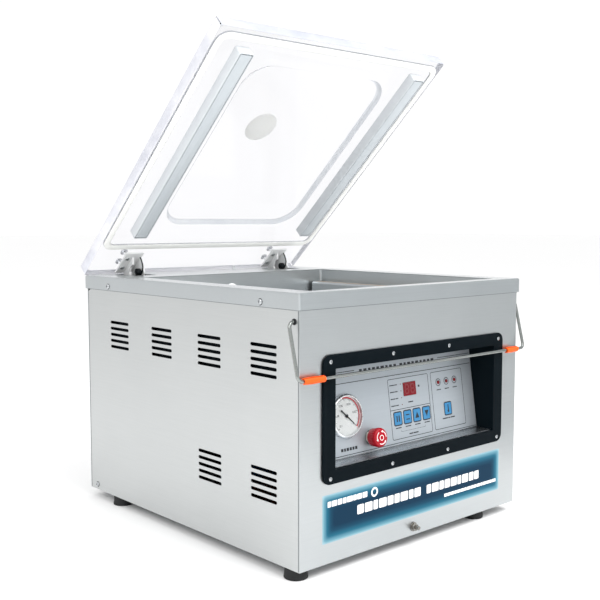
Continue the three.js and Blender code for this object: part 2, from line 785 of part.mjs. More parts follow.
function wireBail() {
  const { x, y, z, barY, barZ, wire, bend } = BAIL;
  const inside = HALF_W - 8;
  return bentWire(
    [
      [-inside, y, z],
      [-x, y, z],
      [-x, barY, barZ],
      [x, barY, barZ],
      [x, y, z],
      [inside, y, z],
    ],
    wire,
    bend,
  );
}

function bailSleeve(a, b) {
  const { barY, barZ, wire } = BAIL;
  return cut(rod("x", 5, a, b, barY, barZ, 20), rod("x", wire + GAP, a - 1, b + 1, barY, barZ, 20));
}

function bailBush(side) {
  const flange = (x0, x1, r) => {
    const [a, b] = [side * x0, side * x1].sort((p, q) => p - q);
    return rod("x", r, a, b, BAIL.y, BAIL.z, 20);
  };
  return cut(
    join(flange(HALF_W - 7, HALF_W + 1.4, 4.3), flange(HALF_W + GAP, HALF_W + 1.4, 6.5)),
    flange(HALF_W - 12, HALF_W + 3, BAIL.wire + GAP),
  );
}

// ---------- pump, valve and transformer ----------

const FLOOR = FOOT_H + GAP + 2 + GAP; // top of the base plate

function vacuumPump() {
  const block = prism(roundedRect(-30, 40, 120, 130, 8), "z", FLOOR, FLOOR + 118, 2);
  const motor = rod("x", 52, 28, 190, 45, FLOOR + 66, 28);
  const cowl = rod("x", 56, 165, 200, 45, FLOOR + 66, 28);
  const saddle = box(60, 150, 5, 85, FLOOR, FLOOR + 30);
  const mist = rod("z", 24, FLOOR + 117, FLOOR + 190, -55, 10, 24);
  const sightGlass = rod("y", 11, -34, -24, -30, FLOOR + 45, 20);
  const inlet = rod("z", 9, FLOOR + 117, FLOOR + 136, PORT.x, 80, 20);
  return join(block, motor, cowl, saddle, mist, sightGlass, inlet);
}

function sealTransformer() {
  const [x, y] = [-150, -110];
  const core = box(x - 42, x + 42, y - 25, y + 25, FLOOR, FLOOR + 72);
  const coil = prism(roundedRect(x, y, 58, 86, 12), "z", FLOOR + 14, FLOOR + 58, 2);
  const feet = box(x - 54, x + 54, y - 25, y + 25, FLOOR, FLOOR + 3);
  return join(core, coil, feet);
}

function solenoidValve() {
  const [x, y, z] = [-160, 60, FLOOR];
  return join(
    box(x - 22, x + 22, y - 16, y + 16, z, z + 34),
    rod("z", 13, z + 33, z + 80, x, y, 20),
    rod("x", 8, x + 21, x + 36, y, z + 18, 16),
  );
}

// Hose from the chamber's fitting down to the pump inlet.
function vacuumHose() {
  const top = [PORT.x, CHAMBER.rear + CHAMBER.wall + 18.5 + GAP, PORT.z];
  const pumpTop = FLOOR + 136 + GAP;
  return bentWire(
    [
      top,
      [PORT.x, top[1] + 32, PORT.z],
      [PORT.x, top[1] + 32, 230],
      [PORT.x, 80, 200],
      [PORT.x, 80, pumpTop],
    ],
    8,
    24,
    12,
  );
}

// ---------- assembly ----------

const group = new THREE.Group();
const machine = new THREE.Group();
machine.position.y = FRAME_SHIFT_Y;
group.add(machine);

part(machine, "base_plate", basePlate(), "steelDark");
part(machine, "front_panel", frontPanel(), "steel");
part(machine, "left_side_panel", sidePanel(-1), "steel");
part(machine, "right_side_panel", sidePanel(1), "steel");
part(machine, "rear_panel", rearPanel(), "steel");
FEET.x.forEach((x, i) => {
  FEET.y.forEach((y, j) => {
    part(machine, `foot_${["front", "rear"][j]}_${["left", "right"][i]}`, foot(x, y), "rubber");
  });
});
part(machine, "earth_stud", earthStud(), "chrome");
part(machine, "power_inlet", powerInlet(), "blackPlastic");

part(machine, "deck", deck(), "steel");
part(machine, "chamber", chamber(), "steel");
part(machine, "vacuum_port", vacuumPort(), "white");
part(machine, "filler_plate", fillerPlate(), "white");
for (const [side, x] of [
  ["left", -PAD.x],
  ["right", PAD.x],
]) {
  part(machine, `seal_bar_${side}`, sealBar(x), "aluminium");
  part(machine, `seal_carrier_${side}`, sealCarrier(x), "aluminium");
  part(machine, `lift_bladder_${side}`, liftBladder(x), "rubber");
}

const lid = new THREE.Group();
lid.position.set(0, PIVOT.y, PIVOT.z);
lid.rotation.x = -LID_OPEN;
machine.add(lid);
part(lid, "lid", lidPlate(), "acrylic");
part(lid, "lid_gasket", lidGasket(), "gasket");
part(lid, "press_pad_left", pressPad(-PAD.x), "silicone");
part(lid, "press_pad_right", pressPad(PAD.x), "silicone");
HINGE_X.forEach((x, i) => {
  const side = ["left", "right"][i];
  part(lid, `hinge_bracket_${side}`, hingeBracket(x), "steel");
  part(lid, `hinge_spring_${side}`, hingeSpring(x), "blackSteel");
  part(machine, `hinge_base_${side}`, hingeBase(x), "steelDark");
  part(machine, `hinge_pin_${side}`, hingePin(x), "chrome");
});
part(machine, "lid_switch_pin", switchPin(), "chrome");
part(machine, "lid_switch_body", switchBody(), "blackPlastic");

part(machine, "control_bezel", controlBezel(), "blackPlastic");
part(machine, "control_panel", cutPanel(), "steel");
const panel = new THREE.Group();
panel.position.set(0, PANEL_TOP.y, PANEL_TOP.z);
panel.rotation.x = Math.PI / 2 - PANEL_TILT;
machine.add(panel);
part(panel, "panel_overlay", overlay(), "overlay");
["left", "right", "up", "down", "heat"].forEach((name, i) => {
  part(panel, `key_${name}`, membraneKey(KEY.x[i]), "key");
});
part(panel, "display_window", displayWindow(), "window");
part(panel, "gauge_case", gaugeCase(), "chrome");
part(panel, "gauge_glass", gaugeGlass(), "acrylic");
part(panel, "gauge_needle", gaugeNeedle(), "blackSteel");
part(panel, "estop_collar", estopCollar(), "chrome");
part(panel, "estop_stem", estopStem(), "blackPlastic");
part(panel, "estop_head", estopHead(), "red");
part(panel, "control_board", controlBoard(), "green");

part(machine, "wire_bail", wireBail(), "chrome");
part(machine, "bail_sleeve_left", bailSleeve(-242, -205), "orange");
part(machine, "bail_sleeve_right", bailSleeve(203, 231), "orange");
part(machine, "bail_bush_left", bailBush(-1), "blackPlastic");
part(machine, "bail_bush_right", bailBush(1), "blackPlastic");

part(machine, "vacuum_pump", vacuumPump(), "blue");
part(machine, "seal_transformer", sealTransformer(), "copper");
part(machine, "solenoid_valve", solenoidValve(), "blackPlastic");
part(machine, "vacuum_hose", vacuumHose(), "rubber");

export default group;
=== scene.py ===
# %% [markdown]
# # Tabletop vacuum packing machine
# A stainless casing holds a sunk chamber, a clear hinged lid closes it, and a control panel sits in a black
# framed recess at the front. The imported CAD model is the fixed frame: it says where everything is and what
# moves. This notebook gives each surface its real shape, edge and finish.

# %% Load the frame
import json
import math

import bmesh
import bpy
from mathutils import Matrix, Vector


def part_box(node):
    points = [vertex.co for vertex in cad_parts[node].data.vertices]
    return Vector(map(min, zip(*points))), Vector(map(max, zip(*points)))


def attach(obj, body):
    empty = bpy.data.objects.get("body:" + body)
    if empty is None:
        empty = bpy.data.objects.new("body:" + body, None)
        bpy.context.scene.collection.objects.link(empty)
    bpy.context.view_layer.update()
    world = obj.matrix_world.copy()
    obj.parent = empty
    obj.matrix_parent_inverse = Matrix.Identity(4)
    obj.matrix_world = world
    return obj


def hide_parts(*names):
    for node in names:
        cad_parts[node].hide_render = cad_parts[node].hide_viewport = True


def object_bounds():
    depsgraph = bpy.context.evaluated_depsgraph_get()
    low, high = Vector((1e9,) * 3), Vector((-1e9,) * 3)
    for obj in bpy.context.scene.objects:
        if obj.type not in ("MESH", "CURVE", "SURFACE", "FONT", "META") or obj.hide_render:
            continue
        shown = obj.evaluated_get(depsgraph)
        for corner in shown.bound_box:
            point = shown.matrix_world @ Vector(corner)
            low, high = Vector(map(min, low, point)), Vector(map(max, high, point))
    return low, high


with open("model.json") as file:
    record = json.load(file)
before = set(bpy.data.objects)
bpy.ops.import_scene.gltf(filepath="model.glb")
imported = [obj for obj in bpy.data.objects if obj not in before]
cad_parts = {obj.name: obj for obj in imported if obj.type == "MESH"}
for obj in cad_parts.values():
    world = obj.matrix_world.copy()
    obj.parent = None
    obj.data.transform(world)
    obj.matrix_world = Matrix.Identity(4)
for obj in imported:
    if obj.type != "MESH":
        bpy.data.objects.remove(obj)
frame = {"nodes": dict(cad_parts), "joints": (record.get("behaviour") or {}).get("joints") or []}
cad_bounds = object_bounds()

scene = bpy.context.scene
joints = {joint["name"]: joint for joint in frame["joints"]}
MM = 0.001
TINY = 1e-7  # two corners closer than this are one corner

# %% [markdown]
# ## Two local frames
# The lid stands open and the control panel leans back, so both are easier to build flat and then place.
# The hinge joint gives the lid's pivot and opening angle. The emergency stop's slide gives the panel's
# normal, and the gauge needle's hinge gives a known point on the panel.

# %% Placement of the lid and of the control panel
lid_joint = joints["lid_hinge"]
pivot = Vector(lid_joint["pos_m"])
lid_open = math.radians(lid_joint["range_deg"][1])
# Lid coordinates: x across, y forwards from the rear edge (negative), z outwards from the inner face.
LID = Matrix.Translation(pivot) @ Matrix.Rotation(-lid_open, 4, "X") @ Matrix.Translation((0, -0.006, 0.028))

normal = -Vector(joints["estop_press"]["axis"]).normalized()
across = Vector((1, 0, 0))
upslope = normal.cross(across)
GAUGE_AT = (-0.120, -0.063)
gauge_pos = Vector(joints["needle_turn"]["pos_m"])
panel_origin = gauge_pos - GAUGE_AT[0] * across - GAUGE_AT[1] * upslope - 0.003 * normal
PANEL = Matrix.Translation(panel_origin) @ Matrix((across, upslope, normal)).transposed().to_4x4()
print("lid opens", round(math.degrees(lid_open), 1), "deg; panel origin", panel_origin)

# %% [markdown]
# ## Mesh helpers
# Most pieces are lofts through rounded rectangles, lathe turnings, or finer copies of a CAD solid. A sheet
# or a moulding never has a perfectly sharp edge, so each copy is merged and given a small bevel that
# catches the light.

# %% Objects out of bmesh data
def as_object(name, bm, smooth_deg=32):
    """Makes an object of a bmesh, smooth across shallow edges and sharp across steep ones."""
    for face in bm.faces:
        face.smooth = True
    for edge in bm.edges:
        edge.smooth = len(edge.link_faces) == 2 and edge.calc_face_angle(0) < math.radians(smooth_deg)
    mesh = bpy.data.meshes.new(name)
    bm.to_mesh(mesh)
    bm.free()
    obj = bpy.data.objects.new(name, mesh)
    scene.collection.objects.link(obj)
    return obj


def settle(obj, body, material, nodes=()):
    """Gives a piece its material and the body that it rides on, and hides the CAD nodes that it stands for.
    """
    if material is not None:
        obj.data.materials.clear()
        obj.data.materials.append(material)
    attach(obj, body)
    if nodes:
        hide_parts(*nodes)


def finished(name, bm, place=Matrix(), smooth_deg=32, merge=False):
    """Turns the faces outwards, moves the shape to its place, and makes the object."""
    if merge:
        bmesh.ops.remove_doubles(bm, verts=bm.verts, dist=TINY)
    bmesh.ops.recalc_face_normals(bm, faces=bm.faces)
    bmesh.ops.transform(bm, matrix=place, verts=bm.verts)
    return as_object(name, bm, smooth_deg)


def flat_shading(obj):
    """Keeps big flat faces flat next to their bevels."""
    weighted = obj.modifiers.new("Even normals", "WEIGHTED_NORMAL")
    weighted.keep_sharp = True
    return obj


CAD_MERGE, BEVEL_MERGE = 5e-6, 1e-6  # corners this close are one, before and after the bevel
NEARLY_FLAT, STEEP = math.radians(0.6), math.radians(35)


def fine_copy(node, name, bevel, segments=2):
    """A merged copy of a CAD node with its steep edges bevelled."""
    bm = bmesh.new()
    bm.from_mesh(frame["nodes"][node].data)
    bmesh.ops.remove_doubles(bm, verts=bm.verts, dist=CAD_MERGE)
    bmesh.ops.dissolve_limit(bm, angle_limit=NEARLY_FLAT, verts=bm.verts, edges=bm.edges)
    steep = [edge for edge in bm.edges if len(edge.link_faces) == 2 and edge.calc_face_angle(0) > STEEP]
    bmesh.ops.bevel(bm, geom=steep, offset=bevel, offset_type="OFFSET", segments=segments, profile=0.5,
                    affect="EDGES", clamp_overlap=True)
    bmesh.ops.remove_doubles(bm, verts=bm.verts, dist=BEVEL_MERGE)
    return flat_shading(as_object(name, bm))


# %% Lofts, turnings and prisms
def rounded_loop(x, y, w, h, r, z, steps=8):
    """Points round a rounded rectangle at height z, anticlockwise."""
    points = []
    for cx, cy, start in (
        (x + w / 2 - r, y - h / 2 + r, -90),
        (x + w / 2 - r, y + h / 2 - r, 0),
        (x - w / 2 + r, y + h / 2 - r, 90),
        (x - w / 2 + r, y - h / 2 + r, 180),
    ):
        for i in range(steps + 1):
            angle = math.radians(start + 90 * i / steps)
            points.append(Vector((cx + r * math.cos(angle), cy + r * math.sin(angle), z)))
    return points


def loft_into(bm, loops, closed=False):
    """Skins a stack of loops, with flat caps unless the stack closes on itself."""
    rings = [[bm.verts.new(point) for point in loop] for loop in loops]
    count = len(rings[0])
    pairs = list(zip(rings, rings[1:]))
    if closed:
        pairs.append((rings[-1], rings[0]))
    for low, high in pairs:
        for i in range(count):
            j = (i + 1) % count
            bm.faces.new((low[i], low[j], high[j], high[i]))
    if not closed:
        bm.faces.new(list(reversed(rings[0])))
        bm.faces.new(rings[-1])


def loft(name, loops, place=Matrix(), closed=False, smooth_deg=32):
    """One piece skinned over a stack of loops."""
    bm = bmesh.new()
    loft_into(bm, loops, closed)
    return finished(name, bm, place, smooth_deg)


def turn_into(bm, profile, place=Matrix(), steps=48):
    """Turns (radius, height) points about the local Z axis into a closed shape."""
    rings = []
    for radius, height in profile:
        if radius < TINY:
            rings.append([bm.verts.new(place @ Vector((0, 0, height)))])
            continue
        ring = []
        for i in range(steps):
            angle = 2 * math.pi * i / steps
            point = Vector((radius * math.cos(angle), radius * math.sin(angle), height))
            ring.append(bm.verts.new(place @ point))
        rings.append(ring)
    for low, high in zip(rings, rings[1:]):
        if len(low) == 1 and len(high) == 1:
            continue
        for i in range(steps):
            j = (i + 1) % steps
            corners = [low[i % len(low)], low[j % len(low)], high[j % len(high)], high[i % len(high)]]
            bm.faces.new(list(dict.fromkeys(corners)))


def turning(name, profile, place=Matrix(), steps=48):
    """One piece turned about an axis."""
    bm = bmesh.new()
    turn_into(bm, profile, place, steps)
    return finished(name, bm, merge=True)


def scaled_profile(points):
    """A profile in millimetres as metres."""
    return [(r * MM, z * MM) for r, z in points]


def block_into(bm, low, high, place=Matrix()):
    """A box between two corners."""
    (x0, y0, z0), (x1, y1, z1) = low, high
    loop = [(x0, y0), (x1, y0), (x1, y1), (x0, y1)]
    loops = [[place @ Vector((x, y, z)) for x, y in loop] for z in (z0, z1)]
    loft_into(bm, loops)


def join_pieces(name, objects):
    """Joins finished mesh objects into one, in the order given."""
    bm = bmesh.new()
    for obj in objects:
        bm.from_mesh(obj.data)
        bpy.data.objects.remove(obj)
    return as_object(name, bm)


print("helpers ready, for frame bounds", [[round(value, 3) for value in corner] for corner in cad_bounds])

# %% [markdown]
# ## Effects that finishes share
# Rolled sheet has long faint scratches, handled surfaces have cloudy marks, and mouldings have a fine pebbled
# skin. Each of these is a node group that is built once. A group puts out only masks and normals, and each
# material sets its own scale and strength.

# %% Node group helper
def new_group(name, inputs, outputs):
    """An empty shader group with float or vector sockets, and its input and output nodes."""
    tree = bpy.data.node_groups.new(name, "ShaderNodeTree")
    kinds = {"value": "NodeSocketFloat", "vector": "NodeSocketVector"}
    for label, kind, default in inputs:
        tree.interface.new_socket(label, in_out="INPUT", socket_type=kinds[kind]).default_value = default
    for label, kind in outputs:
        tree.interface.new_socket(label, in_out="OUTPUT", socket_type=kinds[kind])
    return tree, tree.nodes.new("NodeGroupInput"), tree.nodes.new("NodeGroupOutput")


def add(tree, kind, inputs=None, **settings):
    """Adds a node, sets its properties, and fills its inputs with values or links."""
    node = tree.nodes.new(kind)
    for key, value in settings.items():
        setattr(node, key, value)
    for key, value in (inputs or {}).items():
        if isinstance(value, bpy.types.NodeSocket):
            tree.links.new(value, node.inputs[key])
        else:
            node.inputs[key].default_value = value
    return node


print("node helpers ready")

# %% Brushed grain: noise stretched along one direction
def make_grain_group():
    tree, start, end = new_group(
        "Brushed grain",
        [("Stretch", "vector", (1.0, 1.0, 1.0)), ("Depth", "value", 0.1)],
        [("Streaks", "value"), ("Normal", "vector")],
    )
    place = add(tree, "ShaderNodeTexCoord")
    scaled = add(tree, "ShaderNodeVectorMath", {0: place.outputs["Object"], 1: start.outputs["Stretch"]},
                 operation="MULTIPLY")
    fine = add(tree, "ShaderNodeTexNoise", {"Vector": scaled.outputs[0], "Scale": 1.0, "Detail": 3.0,
                                            "Roughness": 0.6})
    bump = add(tree, "ShaderNodeBump", {"Strength": start.outputs["Depth"], "Distance": 0.0004,
                                        "Height": fine.outputs["Fac"]})
    tree.links.new(fine.outputs["Fac"], end.inputs["Streaks"])
    tree.links.new(bump.outputs["Normal"], end.inputs["Normal"])
    return tree


grain_group = make_grain_group()
print("group", grain_group.name)

# %% Handling marks: soft clouds with a few darker patches
def make_marks_group():
    tree, start, end = new_group(
        "Handling marks", [("Scale", "value", 6.0), ("Contrast", "value", 0.5)], [("Marks", "value")]
    )
    place = add(tree, "ShaderNodeTexCoord")
    cloud = add(tree, "ShaderNodeTexNoise",
                {"Vector": place.outputs["Object"], "Scale": start.outputs["Scale"], "Detail": 5.0,
                 "Roughness": 0.55, "Distortion": 0.4})
    centred = add(tree, "ShaderNodeMath", {0: cloud.outputs["Fac"], 1: 0.5}, operation="SUBTRACT")
    scaled = add(tree, "ShaderNodeMath", {0: centred.outputs[0], 1: start.outputs["Contrast"], 2: 0.5},
                 operation="MULTIPLY_ADD", use_clamp=True)
    tree.links.new(scaled.outputs[0], end.inputs["Marks"])
    return tree


marks_group = make_marks_group()
print("group", marks_group.name)

# %% Moulded skin: a fine pebbled bump
def make_skin_group():
    tree, start, end = new_group(
        "Moulded skin", [("Scale", "value", 900.0), ("Depth", "value", 0.15)], [("Normal", "vector")]
    )
    place = add(tree, "ShaderNodeTexCoord")
    cells = add(tree, "ShaderNodeTexNoise",
                {"Vector": place.outputs["Object"], "Scale": start.outputs["Scale"], "Detail": 2.0})
    bump = add(tree, "ShaderNodeBump", {"Strength": start.outputs["Depth"], "Distance": 0.0003,
                                        "Height": cells.outputs["Fac"]})
    tree.links.new(bump.outputs["Normal"], end.inputs["Normal"])
    return tree


skin_group = make_skin_group()
print("group", skin_group.name)

# %% [markdown]
# ## Finishes
# The stainless sheet reflects a white room, so its own grey and its roughness decide how it looks. Plastics
# differ mainly in gloss and in the depth of their skin. Colours are given as linear values, and each one is
# varied a little by the marks so that no surface is a single flat tone. A metal takes its grain's direction
# from the stretch: a small number is the way that the sheet was brushed.

# %% Material helpers
def linear(code):
    """An sRGB hex colour as linear RGBA."""
    channels = [int(code[i : i + 2], 16) / 255 for i in (1, 3, 5)]
    return tuple([c / 12.92 if c <= 0.04045 else ((c + 0.055) / 1.055) ** 2.4 for c in channels] + [1.0])


def new_material(name):
    """A material with nodes, and its tree and Principled shader."""
    material = bpy.data.materials.new(name)
    material.use_nodes = True
    return material, material.node_tree, material.node_tree.nodes["Principled BSDF"]


def group_node(tree, group, **values):
    """Places a shared group in a material with its own values."""
    node = tree.nodes.new("ShaderNodeGroup")
    node.node_tree = group
    for key, value in values.items():
        node.inputs[key].default_value = value
    return node


def shade_between(tree, factor, dark, light):
    """Mixes two colours by a mask."""
    mix = tree.nodes.new("ShaderNodeMix")
    mix.data_type = "RGBA"
    tree.links.new(factor, mix.inputs[0])
    mix.inputs[6].default_value = dark
    mix.inputs[7].default_value = light
    return mix.outputs[2]


def range_of(tree, value, low, high):
    """Spreads a mask over a range, such as of roughness."""
    node = add(tree, "ShaderNodeMapRange", {"Value": value, "To Min": low, "To Max": high})
    return node.outputs["Result"]


print("material helpers ready")


# %% Brushed metals and moulded plastics
def brushed(name, dark, light, stretch, rough=(0.28, 0.42), depth=0.12, metallic=1.0):
    """A metal whose colour and gloss follow its grain and its handling marks in equal parts."""
    material, tree, shader = new_material(name)
    grain = group_node(tree, grain_group, Stretch=stretch, Depth=depth)
    cloud = group_node(tree, marks_group, Scale=5.0, Contrast=0.9)
    blend = add(tree, "ShaderNodeMath", {0: grain.outputs["Streaks"], 1: cloud.outputs["Marks"]},
                operation="ADD")
    half = add(tree, "ShaderNodeMath", {0: blend.outputs[0], 1: 0.5}, operation="MULTIPLY")
    colour = shade_between(tree, half.outputs[0], linear(dark), linear(light))
    tree.links.new(colour, shader.inputs["Base Color"])
    tree.links.new(range_of(tree, half.outputs[0], *rough), shader.inputs["Roughness"])
    tree.links.new(grain.outputs["Normal"], shader.inputs["Normal"])
    shader.inputs["Metallic"].default_value = metallic
    return material


def moulded(name, dark, light, rough=(0.4, 0.55), scale=900.0, depth=0.12, gloss=0.5):
    """A plastic, rubber or ink with a fine skin; gloss is how strongly it reflects."""
    material, tree, shader = new_material(name)
    skin = group_node(tree, skin_group, Scale=scale, Depth=depth)
    cloud = group_node(tree, marks_group, Scale=20.0, Contrast=0.8)
    colour = shade_between(tree, cloud.outputs["Marks"], linear(dark), linear(light))
    tree.links.new(colour, shader.inputs["Base Color"])
    tree.links.new(range_of(tree, cloud.outputs["Marks"], *rough), shader.inputs["Roughness"])
    tree.links.new(skin.outputs["Normal"], shader.inputs["Normal"])
    shader.inputs["Specular IOR Level"].default_value = gloss
    return material


print("two kinds of finish ready")

# %% Metals
side_steel = brushed("Side sheet steel", "#B7BABA", "#CDCFCF", (900.0, 12.0, 900.0))
# Painted shade: the front sheet is a little darker than the side sheets, for the front's darker tone.
front_steel_shaded = brushed("Front sheet steel painted shade", "#B0B4B5", "#C9CCCD", (12.0, 900.0, 900.0), rough=(0.3, 0.42))
deck_steel = brushed("Deck steel", "#ACB1B3", "#C6CACC", (10.0, 700.0, 700.0), rough=(0.26, 0.38))
chamber_steel = brushed("Chamber steel", "#B9BDBF", "#D0D4D5", (60.0, 60.0, 500.0), rough=(0.25, 0.4))
inner_steel = brushed("Plain inner steel", "#8C9092", "#A8ACAE", (60.0, 200.0, 200.0), rough=(0.4, 0.55))
recess_steel = brushed("Recess sheet steel", "#A9ADB0", "#C6C9CC", (20.0, 600.0, 600.0), rough=(0.2, 0.34))
polished = brushed("Polished metal", "#D8DADC", "#F0F1F2", (300.0, 300.0, 300.0),
                   rough=(0.1, 0.18), depth=0.02)
satin_chrome = brushed("Satin chrome", "#DFE2E4", "#F4F5F6", (200.0, 200.0, 200.0),
                       rough=(0.22, 0.34), depth=0.02)
nickel_wire = brushed("Nickelled wire", "#7F8382", "#AAADAA", (15.0, 400.0, 400.0),
                      rough=(0.14, 0.24), depth=0.03)
anodised = brushed("Anodised aluminium", "#A6AAAD", "#C4C8CA", (400.0, 12.0, 400.0), rough=(0.35, 0.48))
screw_steel = brushed("Screw steel", "#A3A7AA", "#D4D7D9", (150.0, 150.0, 150.0),
                      rough=(0.12, 0.22), depth=0.05)
zinc = brushed("Zinc plate", "#B5B9BB", "#DCDFE0", (150.0, 150.0, 150.0), rough=(0.25, 0.4), depth=0.05)
dull_nickel = brushed("Dull nickel", "#6E6B66", "#A8A59F", (150.0, 150.0, 150.0),
                      rough=(0.2, 0.35), depth=0.05)
black_metal = brushed("Blackened metal", "#0E1114", "#272C31", (80.0, 80.0, 80.0),
                      rough=(0.35, 0.5), metallic=0.6)
copper = brushed("Copper winding", "#8E4C22", "#C27A45", (30.0, 30.0, 900.0), rough=(0.3, 0.45))
print("metals", len(bpy.data.materials))

# %% Plastics, rubbers and enamels
# Painted highlight: the steel hinge leaves get a nearly white non-metal finish for their bright reflections.
hinge_leaf_painted_bright = moulded("Hinge plate painted highlight", "#F0F1F1", "#FCFCFC", rough=(0.35, 0.5), scale=400.0, depth=0.05)
bezel_black = moulded("Black bezel", "#050B10", "#0B151A", rough=(0.45, 0.58), depth=0.06, gloss=0.04)
black_plastic = moulded("Black plastic", "#0C0F12", "#1B2025", rough=(0.4, 0.55))
black_rubber = moulded("Black rubber", "#0D0E0F", "#1C1E20", rough=(0.7, 0.85), depth=0.25)
# Painted shadow: the grey of the thin strips laid in the casing's seams.
seam_shadow_grey = moulded("Seam shadow grey", "#73797C", "#868B8E", rough=(0.6, 0.75), depth=0.1)
white_plastic = moulded("White plastic", "#E6E7E7", "#F6F7F7", rough=(0.3, 0.42), depth=0.04)
orange_tube = moulded("Orange tube", "#F04E0A", "#FF6A1C",
                      rough=(0.42, 0.55), scale=600.0, depth=0.1, gloss=0.25)
silicone = moulded("Grey silicone", "#B9C0C5", "#CBD1D5", rough=(0.5, 0.65), scale=1500.0, depth=0.08)
sponge = moulded("White sponge seal", "#EEEEEA", "#F7F7F4", rough=(0.75, 0.9), scale=1800.0, depth=0.3)
ptfe_tape = moulded("Glass cloth tape", "#85776A", "#A09284", rough=(0.45, 0.6), scale=1400.0, depth=0.25)
red_gloss = moulded("Red gloss plastic", "#8C0015", "#B0051D",
                    rough=(0.22, 0.32), scale=300.0, depth=0.02, gloss=0.3)
circuit_green = moulded("Circuit board", "#0D4A2C", "#1C6B45", rough=(0.35, 0.5), scale=200.0)
pump_blue = moulded("Pump enamel", "#1D4770", "#2F6396", rough=(0.3, 0.45), scale=250.0, depth=0.2)
print("metals and plastics", len(bpy.data.materials))

# %% [markdown]
# ## Clear acrylic
# The lid is a thick cast slab. In a white room its faces nearly vanish, and what shows is the faint lilac of
# its edges. The faces get a glass material with a very light tint and a low index, so that they stay faint.
# The sawn edges, the polished front edge and the milled wall of the recess are half frosted, each in its own
# tint. The front edge, which faces up while the lid stands open, is tinted darker than the sawn edges:
# painted shade against the light that falls full on it.

# %% Clear materials
FAINT_INDEX = 1.2  # below that of real acrylic, so that the lid's edges stay pale


def clear(name, tint, rough):
    """A clear plastic with faint wiping marks in its gloss."""
    material, tree, shader = new_material(name)
    shader.inputs["Base Color"].default_value = linear(tint)
    shader.inputs["Transmission Weight"].default_value = 1.0
    shader.inputs["IOR"].default_value = FAINT_INDEX
    cloud = group_node(tree, marks_group, Scale=9.0, Contrast=0.9)
    tree.links.new(range_of(tree, cloud.outputs["Marks"], *rough), shader.inputs["Roughness"])
    return material


acrylic = clear("Clear acrylic", "#FBFBFD", (0.0, 0.02))
gauge_lens = clear("Gauge lens", "#FAFBFB", (0.0, 0.03))
print("clear materials ready")


# %% Frosted materials
def frosted(name, dark, light, weight, marks=60.0, contrast=0.9):
    """A plastic that lets light through by the given weight and scatters it."""
    material, tree, shader = new_material(name)
    cloud = group_node(tree, marks_group, Scale=marks, Contrast=contrast)
    colour = shade_between(tree, cloud.outputs["Marks"], linear(dark), linear(light))
    tree.links.new(colour, shader.inputs["Base Color"])
    tree.links.new(range_of(tree, cloud.outputs["Marks"], 0.5, 0.7), shader.inputs["Roughness"])
    shader.inputs["Transmission Weight"].default_value = weight
    return material


frosted_disc = frosted("Frosted film", "#F3F4F2", "#FBFBFA", 0.6)
sawn_edge = frosted("Sawn acrylic edge", "#D2D4DF", "#F6F6FA", 0.3, marks=16.0, contrast=2.0)
# Painted shade: the front edge is darker than the sawn edges, against the light that falls full on it.
front_edge_painted_shade = frosted("Polished acrylic edge painted shade", "#B4B8C4", "#D9DBE3", 0.3, marks=16.0, contrast=2.0)
milled_wall = frosted("Milled acrylic", "#C3C8D0", "#E3E6EA", 0.55, marks=22.0, contrast=1.6)
print("frosted materials ready")

# %% [markdown]
# ## Stage
# The machine stands in a white studio: a white floor that runs out to a white horizon, a big soft light over
# the left shoulder, and a second one that brightens the floor in front, which the front sheet reflects.
# Polished sheet shows what stands around it, so a grey card at the front right, which only reflections see,
# gives the top of the front its darker tone.

# %% Floor, room and lights
FLOOR_HALF = 30.0


def make_floor():
    """A wide white floor with very faint clouds."""
    bm = bmesh.new()
    bmesh.ops.create_grid(bm, x_segments=1, y_segments=1, size=FLOOR_HALF)
    floor = as_object("studio_floor", bm)
    material, tree, shader = new_material("Studio floor")
    cloud = group_node(tree, marks_group, Scale=0.8, Contrast=0.3)
    colour = shade_between(tree, cloud.outputs["Marks"], (0.95, 0.95, 0.95, 1), (0.97, 0.97, 0.97, 1))
    tree.links.new(colour, shader.inputs["Base Color"])
    shader.inputs["Roughness"].default_value = 0.9
    shader.inputs["Specular IOR Level"].default_value = 0.1
    floor.data.materials.append(material)


def make_room(strength):
    """White light from all round."""
    world = bpy.data.worlds.new("White room")
    scene.world = world
    world.use_nodes = True
    background = world.node_tree.nodes["Background"]
    background.inputs["Color"].default_value = (1.0, 1.0, 1.0, 1.0)
    background.inputs["Strength"].default_value = strength


def soft_light(name, place, aim, size, watts):
    """A rectangular soft light that faces a point."""
    data = bpy.data.lights.new(name, "AREA")
    data.shape = "RECTANGLE"
    data.size, data.size_y = size
    data.energy = watts
    light = bpy.data.objects.new(name, data)
    light.location = place
    light.rotation_euler = (Vector(aim) - Vector(place)).to_track_quat("-Z", "Y").to_euler()
    scene.collection.objects.link(light)


make_floor()
make_room(strength=1.03)
middle = (Vector(cad_bounds[0]) + Vector(cad_bounds[1])) / 2
soft_light("left softbox", (-2.6, -1.2, 2.4), middle, (2.0, 2.0), 30.0)
soft_light("front floor light", (0.5, -2.0, 2.6), (0.2, -0.9, 0.0), (2.0, 2.0), 70.0)
print("two soft lights, the first aimed at", middle)

# %% Grey card
CARD_HALF_W, CARD_HALF_T, CARD_H = 0.95, 0.02, 1.15
CARD_AT, CARD_TURN = (0.42, -0.64, 0), math.radians(42)


def make_grey_card():
    """A tall grey board to the front right that only reflections see."""
    bm = bmesh.new()
    block_into(bm, (-CARD_HALF_W, -CARD_HALF_T, 0.0), (CARD_HALF_W, CARD_HALF_T, CARD_H),
               Matrix.Translation(CARD_AT) @ Matrix.Rotation(CARD_TURN, 4, "Z"))
    card = finished("grey_card", bm)
    card.data.materials.append(moulded("Grey card", "#DCDEDF", "#E4E6E7", rough=(0.8, 0.9), scale=40.0))
    card.visible_camera = card.visible_shadow = card.visible_diffuse = False


make_grey_card()
scene.view_settings.view_transform = "Standard"
print("grey card stands at", CARD_AT)

